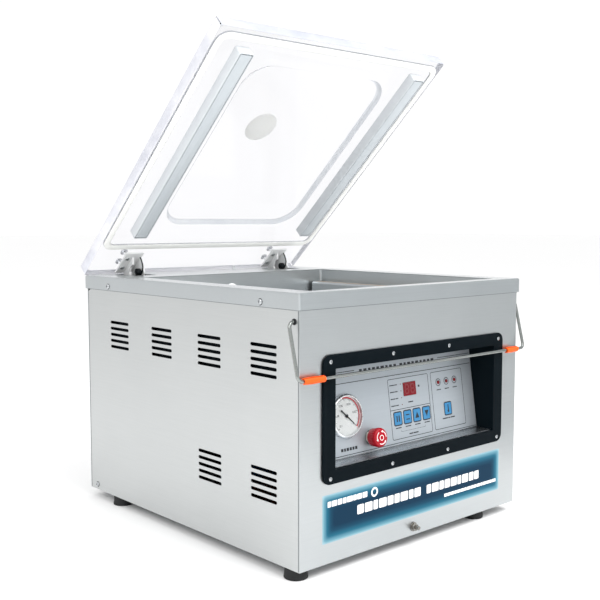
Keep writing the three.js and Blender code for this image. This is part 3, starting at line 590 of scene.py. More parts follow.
# %% Camera
# The camera stands to the left of the front, a little above the deck, and looks slightly down.
LOOK_DOWN_DEG, LOOK_RIGHT_DEG = 4.82, 42.03
camera_data = bpy.data.cameras.new("camera")
camera_data.lens = 55.45
camera_data.sensor_width = 36.0
camera = bpy.data.objects.new("camera", camera_data)
camera.location = (-1.04456, -1.17187, 0.48326)
camera.rotation_euler = (math.radians(90 - LOOK_DOWN_DEG), 0, math.radians(-LOOK_RIGHT_DEG))
scene.collection.objects.link(camera)
scene.camera = camera
print("camera", camera.location)

# %% [markdown]
# ## Sheet metal and small hardware from the CAD solids
# The folded and turned parts already have the right outlines. Each is copied, merged and bevelled by the
# radius of its real edge: a fold is soft, a punched slot is nearly sharp.

# %% Bevelled copies
# CAD node: (piece, body, slot, material, bevel in mm)
BEVELLED = {
    "deck": ("deck_shell", "casing", "casing_steel", deck_steel, 0.7),
    "front_panel": ("front_sheet", "casing", "casing_steel", front_steel_shaded, 0.25),
    "left_side_panel": ("left_side_sheet", "casing", "casing_steel", side_steel, 0.2),
    "right_side_panel": ("right_side_sheet", "casing", "casing_steel", side_steel, 0.2),
    "rear_panel": ("rear_sheet", "casing", "casing_steel", front_steel_shaded, 0.2),
    "base_plate": ("base_tray", "casing", "inner_steel", inner_steel, 0.3),
    "chamber": ("chamber_tub", "casing", "chamber_steel", chamber_steel, 0.3),
    "filler_plate": ("filler_board", "casing", "white_plastic", white_plastic, 0.8),
}
BOTH_SIDES = {  # {} stands for left and right
    "seal_carrier_{}": ("carrier_{}", "casing", "bare_aluminium", anodised, 0.3),
    "seal_bar_{}": ("bar_{}", "bar_{}", "bare_aluminium", anodised, 0.4),
    "hinge_base_{}": ("hinge_yoke_{}", "casing", "inner_steel", inner_steel, 0.3),
    "hinge_pin_{}": ("hinge_bolt_{}", "casing", "bright_metal", polished, 0.3),
    "hinge_bracket_{}": ("hinge_leaf_{}", "lid", "casing_steel", hinge_leaf_painted_bright, 0.3),
}
for node, (name, body, *finish) in BOTH_SIDES.items():
    for side in ("left", "right"):
        BEVELLED[node.format(side)] = (name.format(side), body.format(side), *finish)
BEVELLED.update({
    "lid_switch_pin": ("switch_plunger", "switch_pin", "bright_metal", polished, 0.3),
    "lid_switch_body": ("switch_housing", "casing", "black_plastic", black_plastic, 0.4),
    "control_bezel": ("bezel_frame", "casing", "black_plastic", bezel_black, 0.5),
    "control_panel": ("recess_sheet", "casing", "casing_steel", recess_steel, 0.2),
    "power_inlet": ("inlet_socket", "casing", "black_plastic", black_plastic, 0.3),
    "earth_stud": ("earth_bolt", "casing", "bright_metal", dull_nickel, 0.25),
})
for node, (name, body, slot, material, bevel_mm) in BEVELLED.items():
    piece = fine_copy(node, name, bevel_mm * MM)
    settle(piece, body, material, [node])
print("bevelled copies", len(BEVELLED))

# %% The deck's top, painted brighter for the light from above
DECK_TOP_FROM = 0.39
# Painted highlight: the deck's upward faces get a lighter copy of its steel, for the light from above.
deck_top_painted_light = brushed("Deck top painted highlight", "#CDD1D2", "#E4E7E8", (10.0, 700.0, 700.0), rough=(0.22, 0.34))
deck_shell = bpy.data.objects["deck_shell"]
deck_shell.data.materials.append(deck_top_painted_light)
top_faces = [face for face in deck_shell.data.polygons
             if face.normal.z > 0.9 and face.center.z > DECK_TOP_FROM]
for face in top_faces:
    face.material_index = 1
print("deck top faces", len(top_faces))

# %% Finishes for the parts inside, which keep their CAD shape
INSIDE = {
    "vacuum_pump": pump_blue,
    "seal_transformer": copper,
    "solenoid_valve": black_plastic,
    "vacuum_hose": black_rubber,
    "lift_bladder_left": black_rubber,
    "lift_bladder_right": black_rubber,
    "control_board": circuit_green,
}
for node, material in INSIDE.items():
    frame["nodes"][node].data.materials.clear()
    frame["nodes"][node].data.materials.append(material)
print("inside parts", len(INSIDE))

# %% [markdown]
# ## Geometry nodes for what repeats or follows a path
# Three small trees do most of the repeated work: one sweeps a round tube along a bent line, one sets a head
# or a mark at each listed point, and one lays strokes round an arc. Their sizes are named inputs.

# %% Tree helpers
def geometry_tree(name, sockets):
    """An empty geometry tree with named inputs, and its input and output nodes."""
    tree = bpy.data.node_groups.new(name, "GeometryNodeTree")
    tree.interface.new_socket("Geometry", in_out="INPUT", socket_type="NodeSocketGeometry")
    for label, kind, default in sockets:
        socket = tree.interface.new_socket(label, in_out="INPUT", socket_type=kind)
        if default is not None:
            socket.default_value = default
    tree.interface.new_socket("Geometry", in_out="OUTPUT", socket_type="NodeSocketGeometry")
    return tree, tree.nodes.new("NodeGroupInput"), tree.nodes.new("NodeGroupOutput")


GROWN_SMOOTH_DEG = 35


def close_tree(tree, geometry, start, end):
    """Ends a tree: the copies become real and take their finish."""
    solid = add(tree, "GeometryNodeRealizeInstances", {"Geometry": geometry})
    painted = add(tree, "GeometryNodeSetMaterial",
                  {"Geometry": solid.outputs[0], "Material": start.outputs["Finish"]})
    tree.links.new(painted.outputs[0], end.inputs[0])
    return tree


def grown(name, source, tree, values):
    """Runs a tree on a source object and keeps the result as a plain mesh object."""
    modifier = source.modifiers.new("Grow", "NODES")
    modifier.node_group = tree
    for item in tree.interface.items_tree:
        if item.in_out == "INPUT" and item.name in values:
            modifier[item.identifier] = values[item.name]
    bpy.context.view_layer.update()
    evaluated = source.evaluated_get(bpy.context.evaluated_depsgraph_get())
    result = bpy.data.meshes.new_from_object(evaluated)
    bm = bmesh.new()
    bm.from_mesh(result)
    source_mesh = source.data
    bpy.data.objects.remove(source)
    bpy.data.meshes.remove(source_mesh)
    bpy.data.meshes.remove(result)
    return finished(name, bm, smooth_deg=GROWN_SMOOTH_DEG, merge=True)


def line_object(points):
    """A bare polyline as a mesh, for the trees to start from."""
    mesh = bpy.data.meshes.new("route")
    mesh.from_pydata([tuple(point) for point in points], [(i, i + 1) for i in range(len(points) - 1)], [])
    obj = bpy.data.objects.new("route", mesh)
    scene.collection.objects.link(obj)
    return obj


print("tree helpers ready")


# %% Tube along a bent line
def make_tube_tree():
    tree, start, end = geometry_tree(
        "Tube along a line",
        [
            ("Tube radius", "NodeSocketFloat", 0.0025),
            ("Bend radius", "NodeSocketFloat", 0.009),
            ("Sides", "NodeSocketInt", 16),
            ("Bend steps", "NodeSocketInt", 8),
            ("Finish", "NodeSocketMaterial", None),
        ],
    )
    line = add(tree, "GeometryNodeMeshToCurve", {"Mesh": start.outputs["Geometry"]})
    bend = add(tree, "GeometryNodeFilletCurve",
               {"Curve": line.outputs[0], "Radius": start.outputs["Bend radius"],
                "Count": start.outputs["Bend steps"], "Limit Radius": True}, mode="POLY")
    section = add(tree, "GeometryNodeCurvePrimitiveCircle",
                  {"Resolution": start.outputs["Sides"], "Radius": start.outputs["Tube radius"]})
    skin = add(tree, "GeometryNodeCurveToMesh",
               {"Curve": bend.outputs[0], "Profile Curve": section.outputs[0], "Fill Caps": True})
    return close_tree(tree, skin.outputs[0], start, end)


tube_tree = make_tube_tree()


def tube(name, points, radius, bend, material, sides=16, steps=8):
    """A round wire along a list of corners."""
    return grown(name, line_object(points), tube_tree,
                 {"Tube radius": radius, "Bend radius": bend, "Sides": sides, "Bend steps": steps,
                  "Finish": material})


print("tree", tube_tree.name)


# %% A copy of a pattern at each listed point
def make_scatter_tree():
    tree, start, end = geometry_tree(
        "Copies at points",
        [
            ("Pattern", "NodeSocketObject", None),
            ("Twist", "NodeSocketFloat", 0.0),
            ("Seed", "NodeSocketInt", 3),
            ("Finish", "NodeSocketMaterial", None),
        ],
    )
    pattern = add(tree, "GeometryNodeObjectInfo", {"Object": start.outputs["Pattern"]})
    facing = add(tree, "GeometryNodeInputNamedAttribute", {"Name": "facing"}, data_type="FLOAT_VECTOR")
    aim = add(tree, "FunctionNodeAlignRotationToVector", {"Vector": facing.outputs[0]}, axis="Z")
    spin = add(tree, "FunctionNodeRandomValue",
               {"Max": start.outputs["Twist"], "Seed": start.outputs["Seed"]}, data_type="FLOAT")
    turn = add(tree, "FunctionNodeAxisAngleToRotation", {"Axis": (0.0, 0.0, 1.0), "Angle": spin.outputs[1]})
    both = add(tree, "FunctionNodeRotateRotation", {"Rotation": aim.outputs[0], "Rotate By": turn.outputs[0]},
               rotation_space="LOCAL")
    copies = add(tree, "GeometryNodeInstanceOnPoints",
                 {"Points": start.outputs["Geometry"], "Instance": pattern.outputs["Geometry"],
                  "Rotation": both.outputs[0]})
    return close_tree(tree, copies.outputs[0], start, end)


scatter_tree = make_scatter_tree()
ANY_TURN = 6.28


def scatter(name, pattern, places, material, seed=3):
    """Sets the pattern at each (point, direction), turned at random, and removes the pattern."""
    mesh = bpy.data.meshes.new("places")
    mesh.from_pydata([tuple(point) for point, _ in places], [], [])
    facing = mesh.attributes.new("facing", "FLOAT_VECTOR", "POINT")
    for i, (_, direction) in enumerate(places):
        facing.data[i].vector = tuple(direction)
    source = bpy.data.objects.new("places", mesh)
    scene.collection.objects.link(source)
    result = grown(name, source, scatter_tree,
                   {"Pattern": pattern, "Twist": ANY_TURN, "Seed": seed, "Finish": material})
    bpy.data.objects.remove(pattern)
    return result


print("tree", scatter_tree.name)


# %% Strokes round an arc, in the XY plane
def make_stroke_tree():
    tree, start, end = geometry_tree(
        "Strokes round an arc",
        [
            ("Count", "NodeSocketInt", 11),
            ("Radius", "NodeSocketFloat", 0.02),
            ("Start angle", "NodeSocketFloat", 0.0),
            ("Sweep", "NodeSocketFloat", 4.7),
            ("Length", "NodeSocketFloat", 0.003),
            ("Width", "NodeSocketFloat", 0.0005),
            ("Thickness", "NodeSocketFloat", 0.00006),
            ("Finish", "NodeSocketMaterial", None),
        ],
    )
    arc = add(tree, "GeometryNodeCurveArc",
              {"Resolution": start.outputs["Count"], "Radius": start.outputs["Radius"],
               "Start Angle": start.outputs["Start angle"], "Sweep Angle": start.outputs["Sweep"]})
    points = add(tree, "GeometryNodeCurveToPoints", {"Curve": arc.outputs[0]}, mode="EVALUATED")
    place = add(tree, "GeometryNodeInputPosition")
    outwards = add(tree, "FunctionNodeAlignRotationToVector", {"Vector": place.outputs[0]}, axis="X")
    size = add(tree, "ShaderNodeCombineXYZ",
               {0: start.outputs["Length"], 1: start.outputs["Width"], 2: start.outputs["Thickness"]})
    stroke = add(tree, "GeometryNodeMeshCube", {"Size": size.outputs[0]})
    copies = add(tree, "GeometryNodeInstanceOnPoints",
                 {"Points": points.outputs[0], "Instance": stroke.outputs[0],
                  "Rotation": outwards.outputs[0]})
    return close_tree(tree, copies.outputs[0], start, end)


stroke_tree = make_stroke_tree()


def moved(obj, place):
    """Bakes a placement into a mesh."""
    obj.data.transform(place)
    return obj


print("tree", stroke_tree.name)

# %% [markdown]
# ## The lid
# One thick slab: sawn and polished round the outside, a groove near the rim for the seal, and a shallow
# milled recess that gives a full bag some room. It is lofted as one closed skin through rounded rectangles,
# from the outer face, round the edge, through the groove and down into the recess.

# %% Clear slab
# Outlines in mm: half width, rear, front and corner radius.
LID_EDGE = (245.0, 0.0, 545.0, 6.0)
GROOVE_WALL = (240.2, 68.0, 535.5, 22.0)
RECESS_FLOOR = (144.0, 140.0, 480.0, 39.0)
LID_T = 20.0
# (inset, depth) of each ring of the rounded edge, of the groove and of the recess's sloping wall
EDGE_ROUND = [(2.2, 0.0), (1.1, 0.45), (0.45, 1.1), (0.0, 2.2)]
GROOVE_STEPS = [(0.0, 0.0), (0.0, 4.0), (12.0, 4.0), (12.0, 0.0)]
RECESS_STEPS = [(-9.6, 0.0), (-8.6, 0.7), (-7.4, 4.6), (-5.6, 7.6), (-2.8, 8.8), (0.0, 9.0)]


def lid_ring(outline, inset, n):
    """An outline drawn in by an inset, at a height from the lid's inner face."""
    half, rear, front, radius = outline
    return rounded_loop(0, -(rear + front) / 2 * MM, 2 * (half - inset) * MM, (front - rear - 2 * inset) * MM,
                        (radius - inset) * MM, n * MM, 10)


slab_rings = [lid_ring(LID_EDGE, inset, LID_T - depth) for inset, depth in EDGE_ROUND]
slab_rings += [lid_ring(LID_EDGE, inset, depth) for inset, depth in reversed(EDGE_ROUND)]
slab_rings += [lid_ring(GROOVE_WALL, inset, depth) for inset, depth in GROOVE_STEPS]
slab_rings += [lid_ring(RECESS_FLOOR, inset, depth) for inset, depth in RECESS_STEPS]
slab = loft("lid_slab", slab_rings, LID)
print("lid slab rings", len(slab_rings))

# %% A finish for each part of the slab
EDGE_BAND = 1.1 * MM  # faces this close to the outline belong to the edge
SAWN, MILLED, SHADED_FRONT = 1, 2, 3
for material in (acrylic, sawn_edge, milled_wall, front_edge_painted_shade):
    slab.data.materials.append(material)
to_flat = LID.inverted()
lid_half, _, lid_front, _ = [value * MM for value in LID_EDGE]
for face in slab.data.polygons:
    centre = to_flat @ face.center
    if centre.y < EDGE_BAND - lid_front:
        face.material_index = SHADED_FRONT
    elif abs(centre.x) > lid_half - EDGE_BAND or centre.y > -EDGE_BAND:
        face.material_index = SAWN
    elif 0.5 * MM < centre.z < 8.8 * MM:
        face.material_index = MILLED
settle(slab, "lid", None, ["lid"])
print("lid slab faces", len(slab.data.polygons))

# %% [markdown]
# The seal is a soft white cord of D section pressed into the groove. The pads that press on the seal bars are
# grey silicone strips on pale rails, so they reach down into the chamber when the lid closes.

# %% Seal
SEAL_PATH = (234.2, 74.0, 529.5, 16.0)
SEAL_SECTION = [(5.6, 3.5), (5.6, -0.4), (4.6, -1.2), (2.4, -1.65), (0, -1.75), (-2.4, -1.65), (-4.6, -1.2),
                (-5.6, -0.4), (-5.6, 3.5)]
seal_rings = [lid_ring(SEAL_PATH, inset, n) for inset, n in SEAL_SECTION]
seal = loft("lid_seal", seal_rings, LID, closed=True, smooth_deg=60)
settle(seal, "lid", sponge, ["lid_gasket"])
print("seal rings", len(seal_rings))

# %% Pads on their rails

rail_pale = moulded("Rail plastic", "#CBD0D4", "#DADEE1", rough=(0.35, 0.5), scale=1500.0, depth=0.04)


PAD_X, PAD_REAR, PAD_FRONT, RAIL_HALF = 189.4, 115.0, 515.0, 13.3
# (inset, height) round the rail: its rounded outside, then back up the inside of its channel
RAIL_STEPS = [(0.3, -0.15), (0, -0.5), (0, -16.9), (0.4, -17.3), (1.3, -17.3), (1.4, -17.2), (1.4, -9.3)]


def bar_ring(centre_x, half_w, ends, corner, inset, n):
    """A ring round a bar on the lid's inner face, whose ends stand back a little from the rail's."""
    length = PAD_FRONT - PAD_REAR - 2 * ends
    return rounded_loop(centre_x * MM, -(PAD_REAR + PAD_FRONT) / 2 * MM, 2 * (half_w - inset) * MM,
                        (length - 2 * inset) * MM, max(corner - inset, 0.3) * MM, n * MM, 4)


def strip(name, centre_x, half_w, ends, low, high, round_over):
    """A bar with rounded long edges on its low side."""
    r = round_over
    steps = [(r, low), (0.3 * r, low + 0.3 * r), (0, low + r), (0, high - 0.3), (0.3, high)]
    return loft(name, [bar_ring(centre_x, half_w, ends, 1.6, inset, n) for inset, n in steps], LID)


for side, sign in (("left", -1), ("right", 1)):
    pad_x = sign * PAD_X
    rail_rings = [bar_ring(pad_x, RAIL_HALF, 0, 3.0, inset, n) for inset, n in RAIL_STEPS]
    settle(loft(f"pad_rail_{side}", rail_rings, LID), "lid", rail_pale)
    # Painted shadow: a black strip in the rail's channel stands for the dark gap beside the pad.
    gap_shadow = strip(f"pad_bed_{side}", pad_x, 11.85, 1.5, -14.6, -9.4, 0.3)
    settle(gap_shadow, "lid", black_rubber)
    pad = strip(f"pad_strip_{side}", pad_x, 10.5, 3.0, -17.5, -14.7, 1.0)
    settle(pad, "lid", silicone, [f"press_pad_{side}"])
print("pads", PAD_FRONT - PAD_REAR, "mm long")

# %% Round film in the recess
FILM_AT = (-0.056, -0.360, 0)
film = turning("round_film", scaled_profile([(0, 8.80), (29, 8.80), (29.2, 8.88), (29, 8.95), (0, 8.95)]),
               LID @ Matrix.Translation(FILM_AT), 64)
settle(film, "lid", frosted_disc)
print("film at", FILM_AT)

# %% [markdown]
# ## Screws and bolts
# All the small fasteners are copies of a few heads. A pan head is turned, and a cross is cut out of it.
# The heads are set by a geometry-nodes tree, each turned by a seeded random angle as a fitter leaves them.

# %% A pan head
def carved(obj, cutter):
    """Cuts one object out of another and keeps the plain result."""
    cut = obj.modifiers.new("Cut", "BOOLEAN")
    cut.object = cutter
    cut.operation = "DIFFERENCE"
    cut.solver = "EXACT"
    bpy.context.view_layer.update()
    result = bpy.data.meshes.new_from_object(obj.evaluated_get(bpy.context.evaluated_depsgraph_get()))
    obj.modifiers.clear()
    obj.data = result
    bpy.data.objects.remove(cutter)
    return obj


def pan_head(radius, height):
    """A round head with a cross recess, its seat at z = 0."""
    shape = [(0, 0), (1, 0), (1, 0.25), (0.93, 0.6), (0.72, 0.87), (0.4, 1), (0, 1.03)]
    head = turning("head", [(r * radius, z * height) for r, z in shape], steps=28)
    bm = bmesh.new()
    arm, blade = 0.58 * radius, 0.12 * radius
    block_into(bm, (-arm, -blade, 0.35 * height), (arm, blade, 2 * height))
    cross = as_object("cross_a", bm)
    head = carved(head, cross)
    bm = bmesh.new()
    block_into(bm, (-blade, -arm, 0.35 * height), (blade, arm, 2 * height))
    return carved(head, as_object("cross_b", bm))


print("pan heads ready")

# %% Screws of the casing
deck_lo, deck_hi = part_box("deck")
side_lo, side_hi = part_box("left_side_panel")
right_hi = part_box("right_side_panel")[1]
rear_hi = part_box("rear_panel")[1]
front_lo, front_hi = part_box("front_panel")
LEFT, RIGHT, FRONT, BACK = Vector((-1, 0, 0)), Vector((1, 0, 0)), Vector((0, -1, 0)), Vector((0, 1, 0))
skirt_screw_z = deck_hi.z - 0.016

casing_places = []
for y in (deck_lo.y + 0.080, deck_hi.y - 0.078):
    casing_places.append((Vector((deck_lo.x, y, skirt_screw_z)), LEFT))
    casing_places.append((Vector((deck_hi.x, y, skirt_screw_z)), RIGHT))
for x, direction in ((side_lo.x, LEFT), (right_hi.x, RIGHT)):
    casing_places.append((Vector((x, side_hi.y - 0.021, side_lo.z + 0.009)), direction))
for x in (-0.222, -0.074, 0.074, 0.222):
    for z in (0.024, 0.355):
        casing_places.append((Vector((x, rear_hi.y, z)), BACK))
casing_screws = scatter("casing_screws", pan_head(4.3 * MM, 2.3 * MM), casing_places, screw_steel, seed=5)
settle(casing_screws, "casing", screw_steel)
print("casing screws", len(casing_places))

# %% Screws of the bezel, and a painted shadow under each casing screw
bezel_lo, bezel_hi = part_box("control_bezel")
bezel_places = []
for x in (-0.188, -0.063, 0.063, 0.188):
    for z in (bezel_hi.z - 0.0094, bezel_lo.z + 0.0081):
        bezel_places.append((Vector((x, bezel_lo.y, z)), FRONT))
bezel_screws = scatter("bezel_screws", pan_head(3.1 * MM, 1.5 * MM), bezel_places, screw_steel, seed=8)
settle(bezel_screws, "casing", screw_steel)
# Painted shadow: a thin black disc under each casing screw head stands for the dark gap beneath it.
seat = turning("seat", scaled_profile([(0, 0), (5.0, 0), (4.9, 0.18), (0, 0.2)]), steps=28)
screw_seats = scatter("screw_seats", seat, casing_places, black_rubber, seed=5)
settle(screw_seats, "casing", black_rubber)
print("bezel screws", len(bezel_places))

# %% [markdown]
# The skirt of the deck and the edge of each side sheet leave a narrow seam against the body. A thin grey
# strip
# is laid in each: painted shadow, standing for the seam's dark line. Behind the upper side vents hangs a
# black sheet, painted shade, so that the vents read dark and no light shows through.

# %% Seam shadow lines, painted shadow
body_x, body_front, body_back = side_lo.x, front_lo.y, rear_hi.y
seam_shadow_z = min(front_hi.z, deck_lo.z)


def seam_shadow_ring(out, down):
    """A ring round the body, a little outside it and a little below the skirt, in mm."""
    return rounded_loop(0, (body_front + body_back) / 2, -2 * body_x + 2 * out * MM,
                        body_back - body_front + 2 * out * MM, 0.9 * MM, seam_shadow_z - down * MM, 3)


# Painted shadow: thin grey strips under the skirt and along the side sheets' front and rear edges.
shadow_lines = bmesh.new()
seam_shadow_rings = [seam_shadow_ring(out, down) for out, down in ((0.1, 1.2), (0.9, 1.1), (0.9, 0.1), (0.1, 0.05))]
loft_into(shadow_lines, seam_shadow_rings, closed=True)
for x0, x1 in ((body_x - 0.25 * MM, body_x - 0.05 * MM), (-body_x + 0.05 * MM, -body_x + 0.25 * MM)):
    for near, far in ((body_front + 1.6 * MM, body_front + 2.7 * MM),
                      (body_back - 2.7 * MM, body_back - 1.6 * MM)):
        block_into(shadow_lines, (x0, near, side_lo.z + 1 * MM), (x1, far, seam_shadow_z - 1.6 * MM))
settle(finished("seam_beads", shadow_lines), "casing", seam_shadow_grey)
print("bead under the skirt at z", round(seam_shadow_z, 4))

# %% Black sheets behind the vents, painted shade
SHADE_SHEET_NEAR, SHADE_SHEET_FAR = 9 * MM, 12 * MM  # behind the outside of each side sheet
SHADE_SHEET_CORNERS = [(-0.240, 0.200), (0.235, 0.200), (0.235, 0.342), (-0.240, 0.342)]
# Painted shade: a black sheet behind each side's upper vents, so that the vents read dark.
shade_sheets = bmesh.new()
for x0, x1 in ((body_x + SHADE_SHEET_NEAR, body_x + SHADE_SHEET_FAR), (-body_x - SHADE_SHEET_FAR, -body_x - SHADE_SHEET_NEAR)):
    loft_into(shade_sheets, [[Vector((x, y, z)) for y, z in SHADE_SHEET_CORNERS] for x in (x0, x1)])
bmesh.ops.recalc_face_normals(shade_sheets, faces=shade_sheets.faces)
bmesh.ops.bevel(shade_sheets, geom=shade_sheets.edges[:], offset=0.8 * MM, segments=2, affect="EDGES")
vent_foam = as_object("vent_foam", shade_sheets)
settle(vent_foam, "casing", bezel_black)
print("foam faces", len(vent_foam.data.polygons))

# %% Bolts through the lid at the hinges
HINGE_X = (-0.168, 0.169)
LEAF_FACE = -3.3 * MM  # the hinge leaf's lower face, under the lid
lid_up = LID.to_3x3() @ Vector((0, 0, 1))
inner_places, outer_places = [], []
for hinge_x in HINGE_X:
    for forward in (0.022, 0.046):
        inner_places.append((LID @ Vector((hinge_x - 0.010, -forward, LEAF_FACE)), -lid_up))
        outer_places.append((LID @ Vector((hinge_x - 0.010, -forward, LID_T * MM)), lid_up))
inner_heads = scatter("hinge_screws", pan_head(4.2 * MM, 2.2 * MM), inner_places, zinc, seed=2)
settle(inner_heads, "lid", zinc)


def domed_bolt():
    """A washer and a domed nut seen from outside, with the shank that runs down through the slab."""
    profile = [(0, -19.8), (2.9, -19.8), (2.9, 0.05), (6.8, 0.05), (7.0, 0.4), (6.8, 1.1), (5.2, 1.15),
               (5.0, 3.4), (4.2, 4.9), (2.4, 5.9), (0, 6.2)]
    return turning("bolt", scaled_profile(profile), steps=28)


outer_nuts = scatter("lid_bolts", domed_bolt(), outer_places, polished, seed=4)
settle(outer_nuts, "lid", polished)
print("lid bolts", len(outer_places))

# %% [markdown]
# ## Hinge springs
# Each hinge has a torsion spring that holds the lid up: a few turns round a bush, with one leg that bends up
# to the leaf. The coil is a swept tube along a helix, and the leg runs on from it.

# %% Coils and legs
DRUM_L, DRUM_N = 33.8, -24.0  # the coil's axis in lid coordinates, in mm


def spring_route(hinge_x):
    """Points along the coil and up the leg."""
    coil, turns, start, end = 5.2, 4.25, 4.0, 12.6
    points = []
    steps = int(turns * 20)
    for i in range(steps + 1):
        t = i / steps
        angle = math.radians(-50) - 2 * math.pi * turns * (1 - t)
        x = hinge_x / MM + start + (end - start) * t
        points.append((x, DRUM_L + coil * math.cos(angle), DRUM_N + coil * math.sin(angle)))
    for forward, n in ((41.5, -27.0), (46.5, -23.4), (49.4, -17.6), (51.2, -11.4), (51.8, -5.4)):
        points.append((points[-1][0], forward, n))
    return [LID @ Vector((x * MM, -forward * MM, n * MM)) for x, forward, n in points]


for side, hinge_x in zip(("left", "right"), HINGE_X):
    coil = tube(f"spring_coil_{side}", spring_route(hinge_x), 1.15 * MM, 0.1 * MM, black_metal, sides=10,
                steps=1)
    settle(coil, "lid", black_metal, [f"hinge_spring_{side}"])
    bush_place = (LID @ Matrix.Translation((hinge_x + 8.3 * MM, -DRUM_L * MM, DRUM_N * MM)) @
                  Matrix.Rotation(math.radians(90), 4, "Y"))
    bush_shape = [(0, -5.9), (2.7, -5.9), (3.2, -5.4), (3.2, 5.4), (2.7, 5.9), (0, 5.9)]
    bush = turning(f"spring_bush_{side}", scaled_profile(bush_shape), bush_place, 28)
    settle(bush, "lid", black_metal)
print("hinge springs wound")

# %% [markdown]
# ## Wire bail
# A single bent wire hangs in front; each end turns in a small black nylon ring in a side sheet. It swings up
# over the closed lid to lock it. Two split orange sleeves near its corners keep the wire from marking the
# lid.

# %% Wire
bail_lo, bail_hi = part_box("wire_bail")
WIRE_R = 2.5 * MM
bail_pivot = Vector(joints["bail_swing"]["pos_m"])
arm_x = bail_hi.x - WIRE_R
bar_y, bar_z = bail_lo.y + WIRE_R, bail_lo.z + WIRE_R
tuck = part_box("bail_bush_right")[0].x - 1.0 * MM
pivot_yz, bar_yz = (bail_pivot.y, bail_pivot.z), (bar_y, bar_z)
bail_corners = [(-tuck, *pivot_yz), (-arm_x, *pivot_yz), (-arm_x, *bar_yz), (arm_x, *bar_yz),
                (arm_x, *pivot_yz), (tuck, *pivot_yz)]
wire = tube("bail_wire", bail_corners, WIRE_R, 8.5 * MM, nickel_wire, sides=20, steps=10)
settle(wire, "bail", nickel_wire, ["wire_bail"])
print("bail from", bail_lo, "to", bail_hi)


# %% Pivot rings
def pivot_ring(node, outwards):
    """A small black nylon ring in the side sheet, with the barrel that holds it from inside."""
    low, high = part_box(node)
    at = (low.y + high.y) / 2, (low.z + high.z) / 2
    sheet_x = side_lo.x if outwards < 0 else right_hi.x
    depth = (high.x - low.x) - 1.6 * MM
    place = Matrix.Translation((sheet_x, *at)) @ Matrix.Rotation(math.radians(90 * outwards), 4, "Y")
    lip = [(4.3, 0.1), (4.4, 0.3), (4.2, 0.9), (3.6, 1.2), (2.9, 1.2)]
    barrel = [(2.9 * MM, -depth), (4.3 * MM, -depth), *scaled_profile(lip), (2.9 * MM, -depth)]
    return turning(node.replace("bail_bush", "pivot_ring"), barrel, place, 32)


for side, outwards in (("left", -1), ("right", 1)):
    ring = pivot_ring(f"bail_bush_{side}", outwards)
    settle(ring, "casing", black_plastic, [f"bail_bush_{side}"])
print("rings in the side sheets at x", round(side_lo.x, 4), round(right_hi.x, 4))


# %% Sleeves
SLIT_FROM, SLEEVE_ROUND = 124, 336  # the slit's edge and how far the sleeve goes round, in degrees
STATIONS, SLEEVE_STEPS = 16, 24


def split_sleeve(name, node):
    """A short tube with a slit along it, one end cut on the slant and the skin a little uneven."""
    low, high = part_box(node)
    centre_y, centre_z = (low.y + high.y) / 2, (low.z + high.z) / 2
    outer, inner = (high.z - low.z) / 2, 2.7 * MM
    angles = [math.radians(SLIT_FROM + SLEEVE_ROUND * i / SLEEVE_STEPS) for i in range(SLEEVE_STEPS + 1)]
    loops = []
    for k in range(STATIONS + 1):
        t = k / STATIONS
        x = low.x + (high.x - low.x) * t
        swell = 1 - 0.05 * (0.5 + 0.5 * math.sin(9.0 * t + 1.0)) - 0.06 * (abs(2 * t - 1) ** 8)
        slanted = 1.1 * MM * (t if name.endswith("right") else t - 1)
        loop = []
        for angle in angles:
            loop.append(Vector((x + slanted * math.cos(angle - math.radians(110)),
                                centre_y + outer * swell * math.cos(angle),
                                centre_z + outer * swell * math.sin(angle))))
        for angle in reversed(angles):
            loop.append(Vector((x, centre_y + inner * math.cos(angle), centre_z + inner * math.sin(angle))))
        loops.append(loop)
    return loft(name, loops, smooth_deg=50)


for side in ("left", "right"):
    sleeve = split_sleeve(f"orange_sleeve_{side}", f"bail_sleeve_{side}")
    settle(sleeve, "bail", orange_tube, [f"bail_sleeve_{side}"])
print("sleeve faces", len(sleeve.data.polygons))

# %% [markdown]
# ## Vacuum gauge
# A chromed case with a rolled bezel, a white dial, and a lens. The strokes of the scale are laid round an
# arc by geometry nodes, a long one for each printed figure and short ones between. Zero is at the pointer's
# rest, and the figures run anticlockwise as the pressure drops.

# %% Case, dial and lens
AT_GAUGE = PANEL @ Matrix.Translation((*GAUGE_AT, 0))
gauge_body = turning("gauge_body", scaled_profile([
    (0, -26), (25.6, -26), (28.0, -25.2), (28.5, -23.5), (28.5, 0.35), (31.5, 0.35), (32.0, 0.9), (32.0, 3.4),
    (31.5, 5.2), (30.5, 6.5), (29.4, 7.0), (28.6, 6.7), (28.3, 6.0), (28.25, 5.0), (28.1, 1.2), (1.9, 1.2),
    (1.9, -6.0), (0, -6.0),
]), AT_GAUGE, 72)
settle(gauge_body, "casing", satin_chrome, ["gauge_case"])
dial_white = moulded("Dial enamel", "#F1F2F1", "#FBFBFA", rough=(0.35, 0.5), scale=800.0, depth=0.02)
dial = turning("gauge_dial", scaled_profile([(1.9, 1.3), (28.0, 1.3), (28.0, 1.85), (1.9, 1.85), (1.9, 1.3)]),
               AT_GAUGE, 72)
settle(dial, "casing", dial_white)
lens_shape = [(0, 5.55), (28.0, 5.5), (28.05, 5.8), (27.0, 6.1), (18, 6.5), (0, 6.8), (0, 5.55)]
lens = turning("gauge_window", scaled_profile(lens_shape), AT_GAUGE, 72)
settle(lens, "casing", gauge_lens, ["gauge_glass"])
print("gauge ready at", AT_GAUGE.translation)

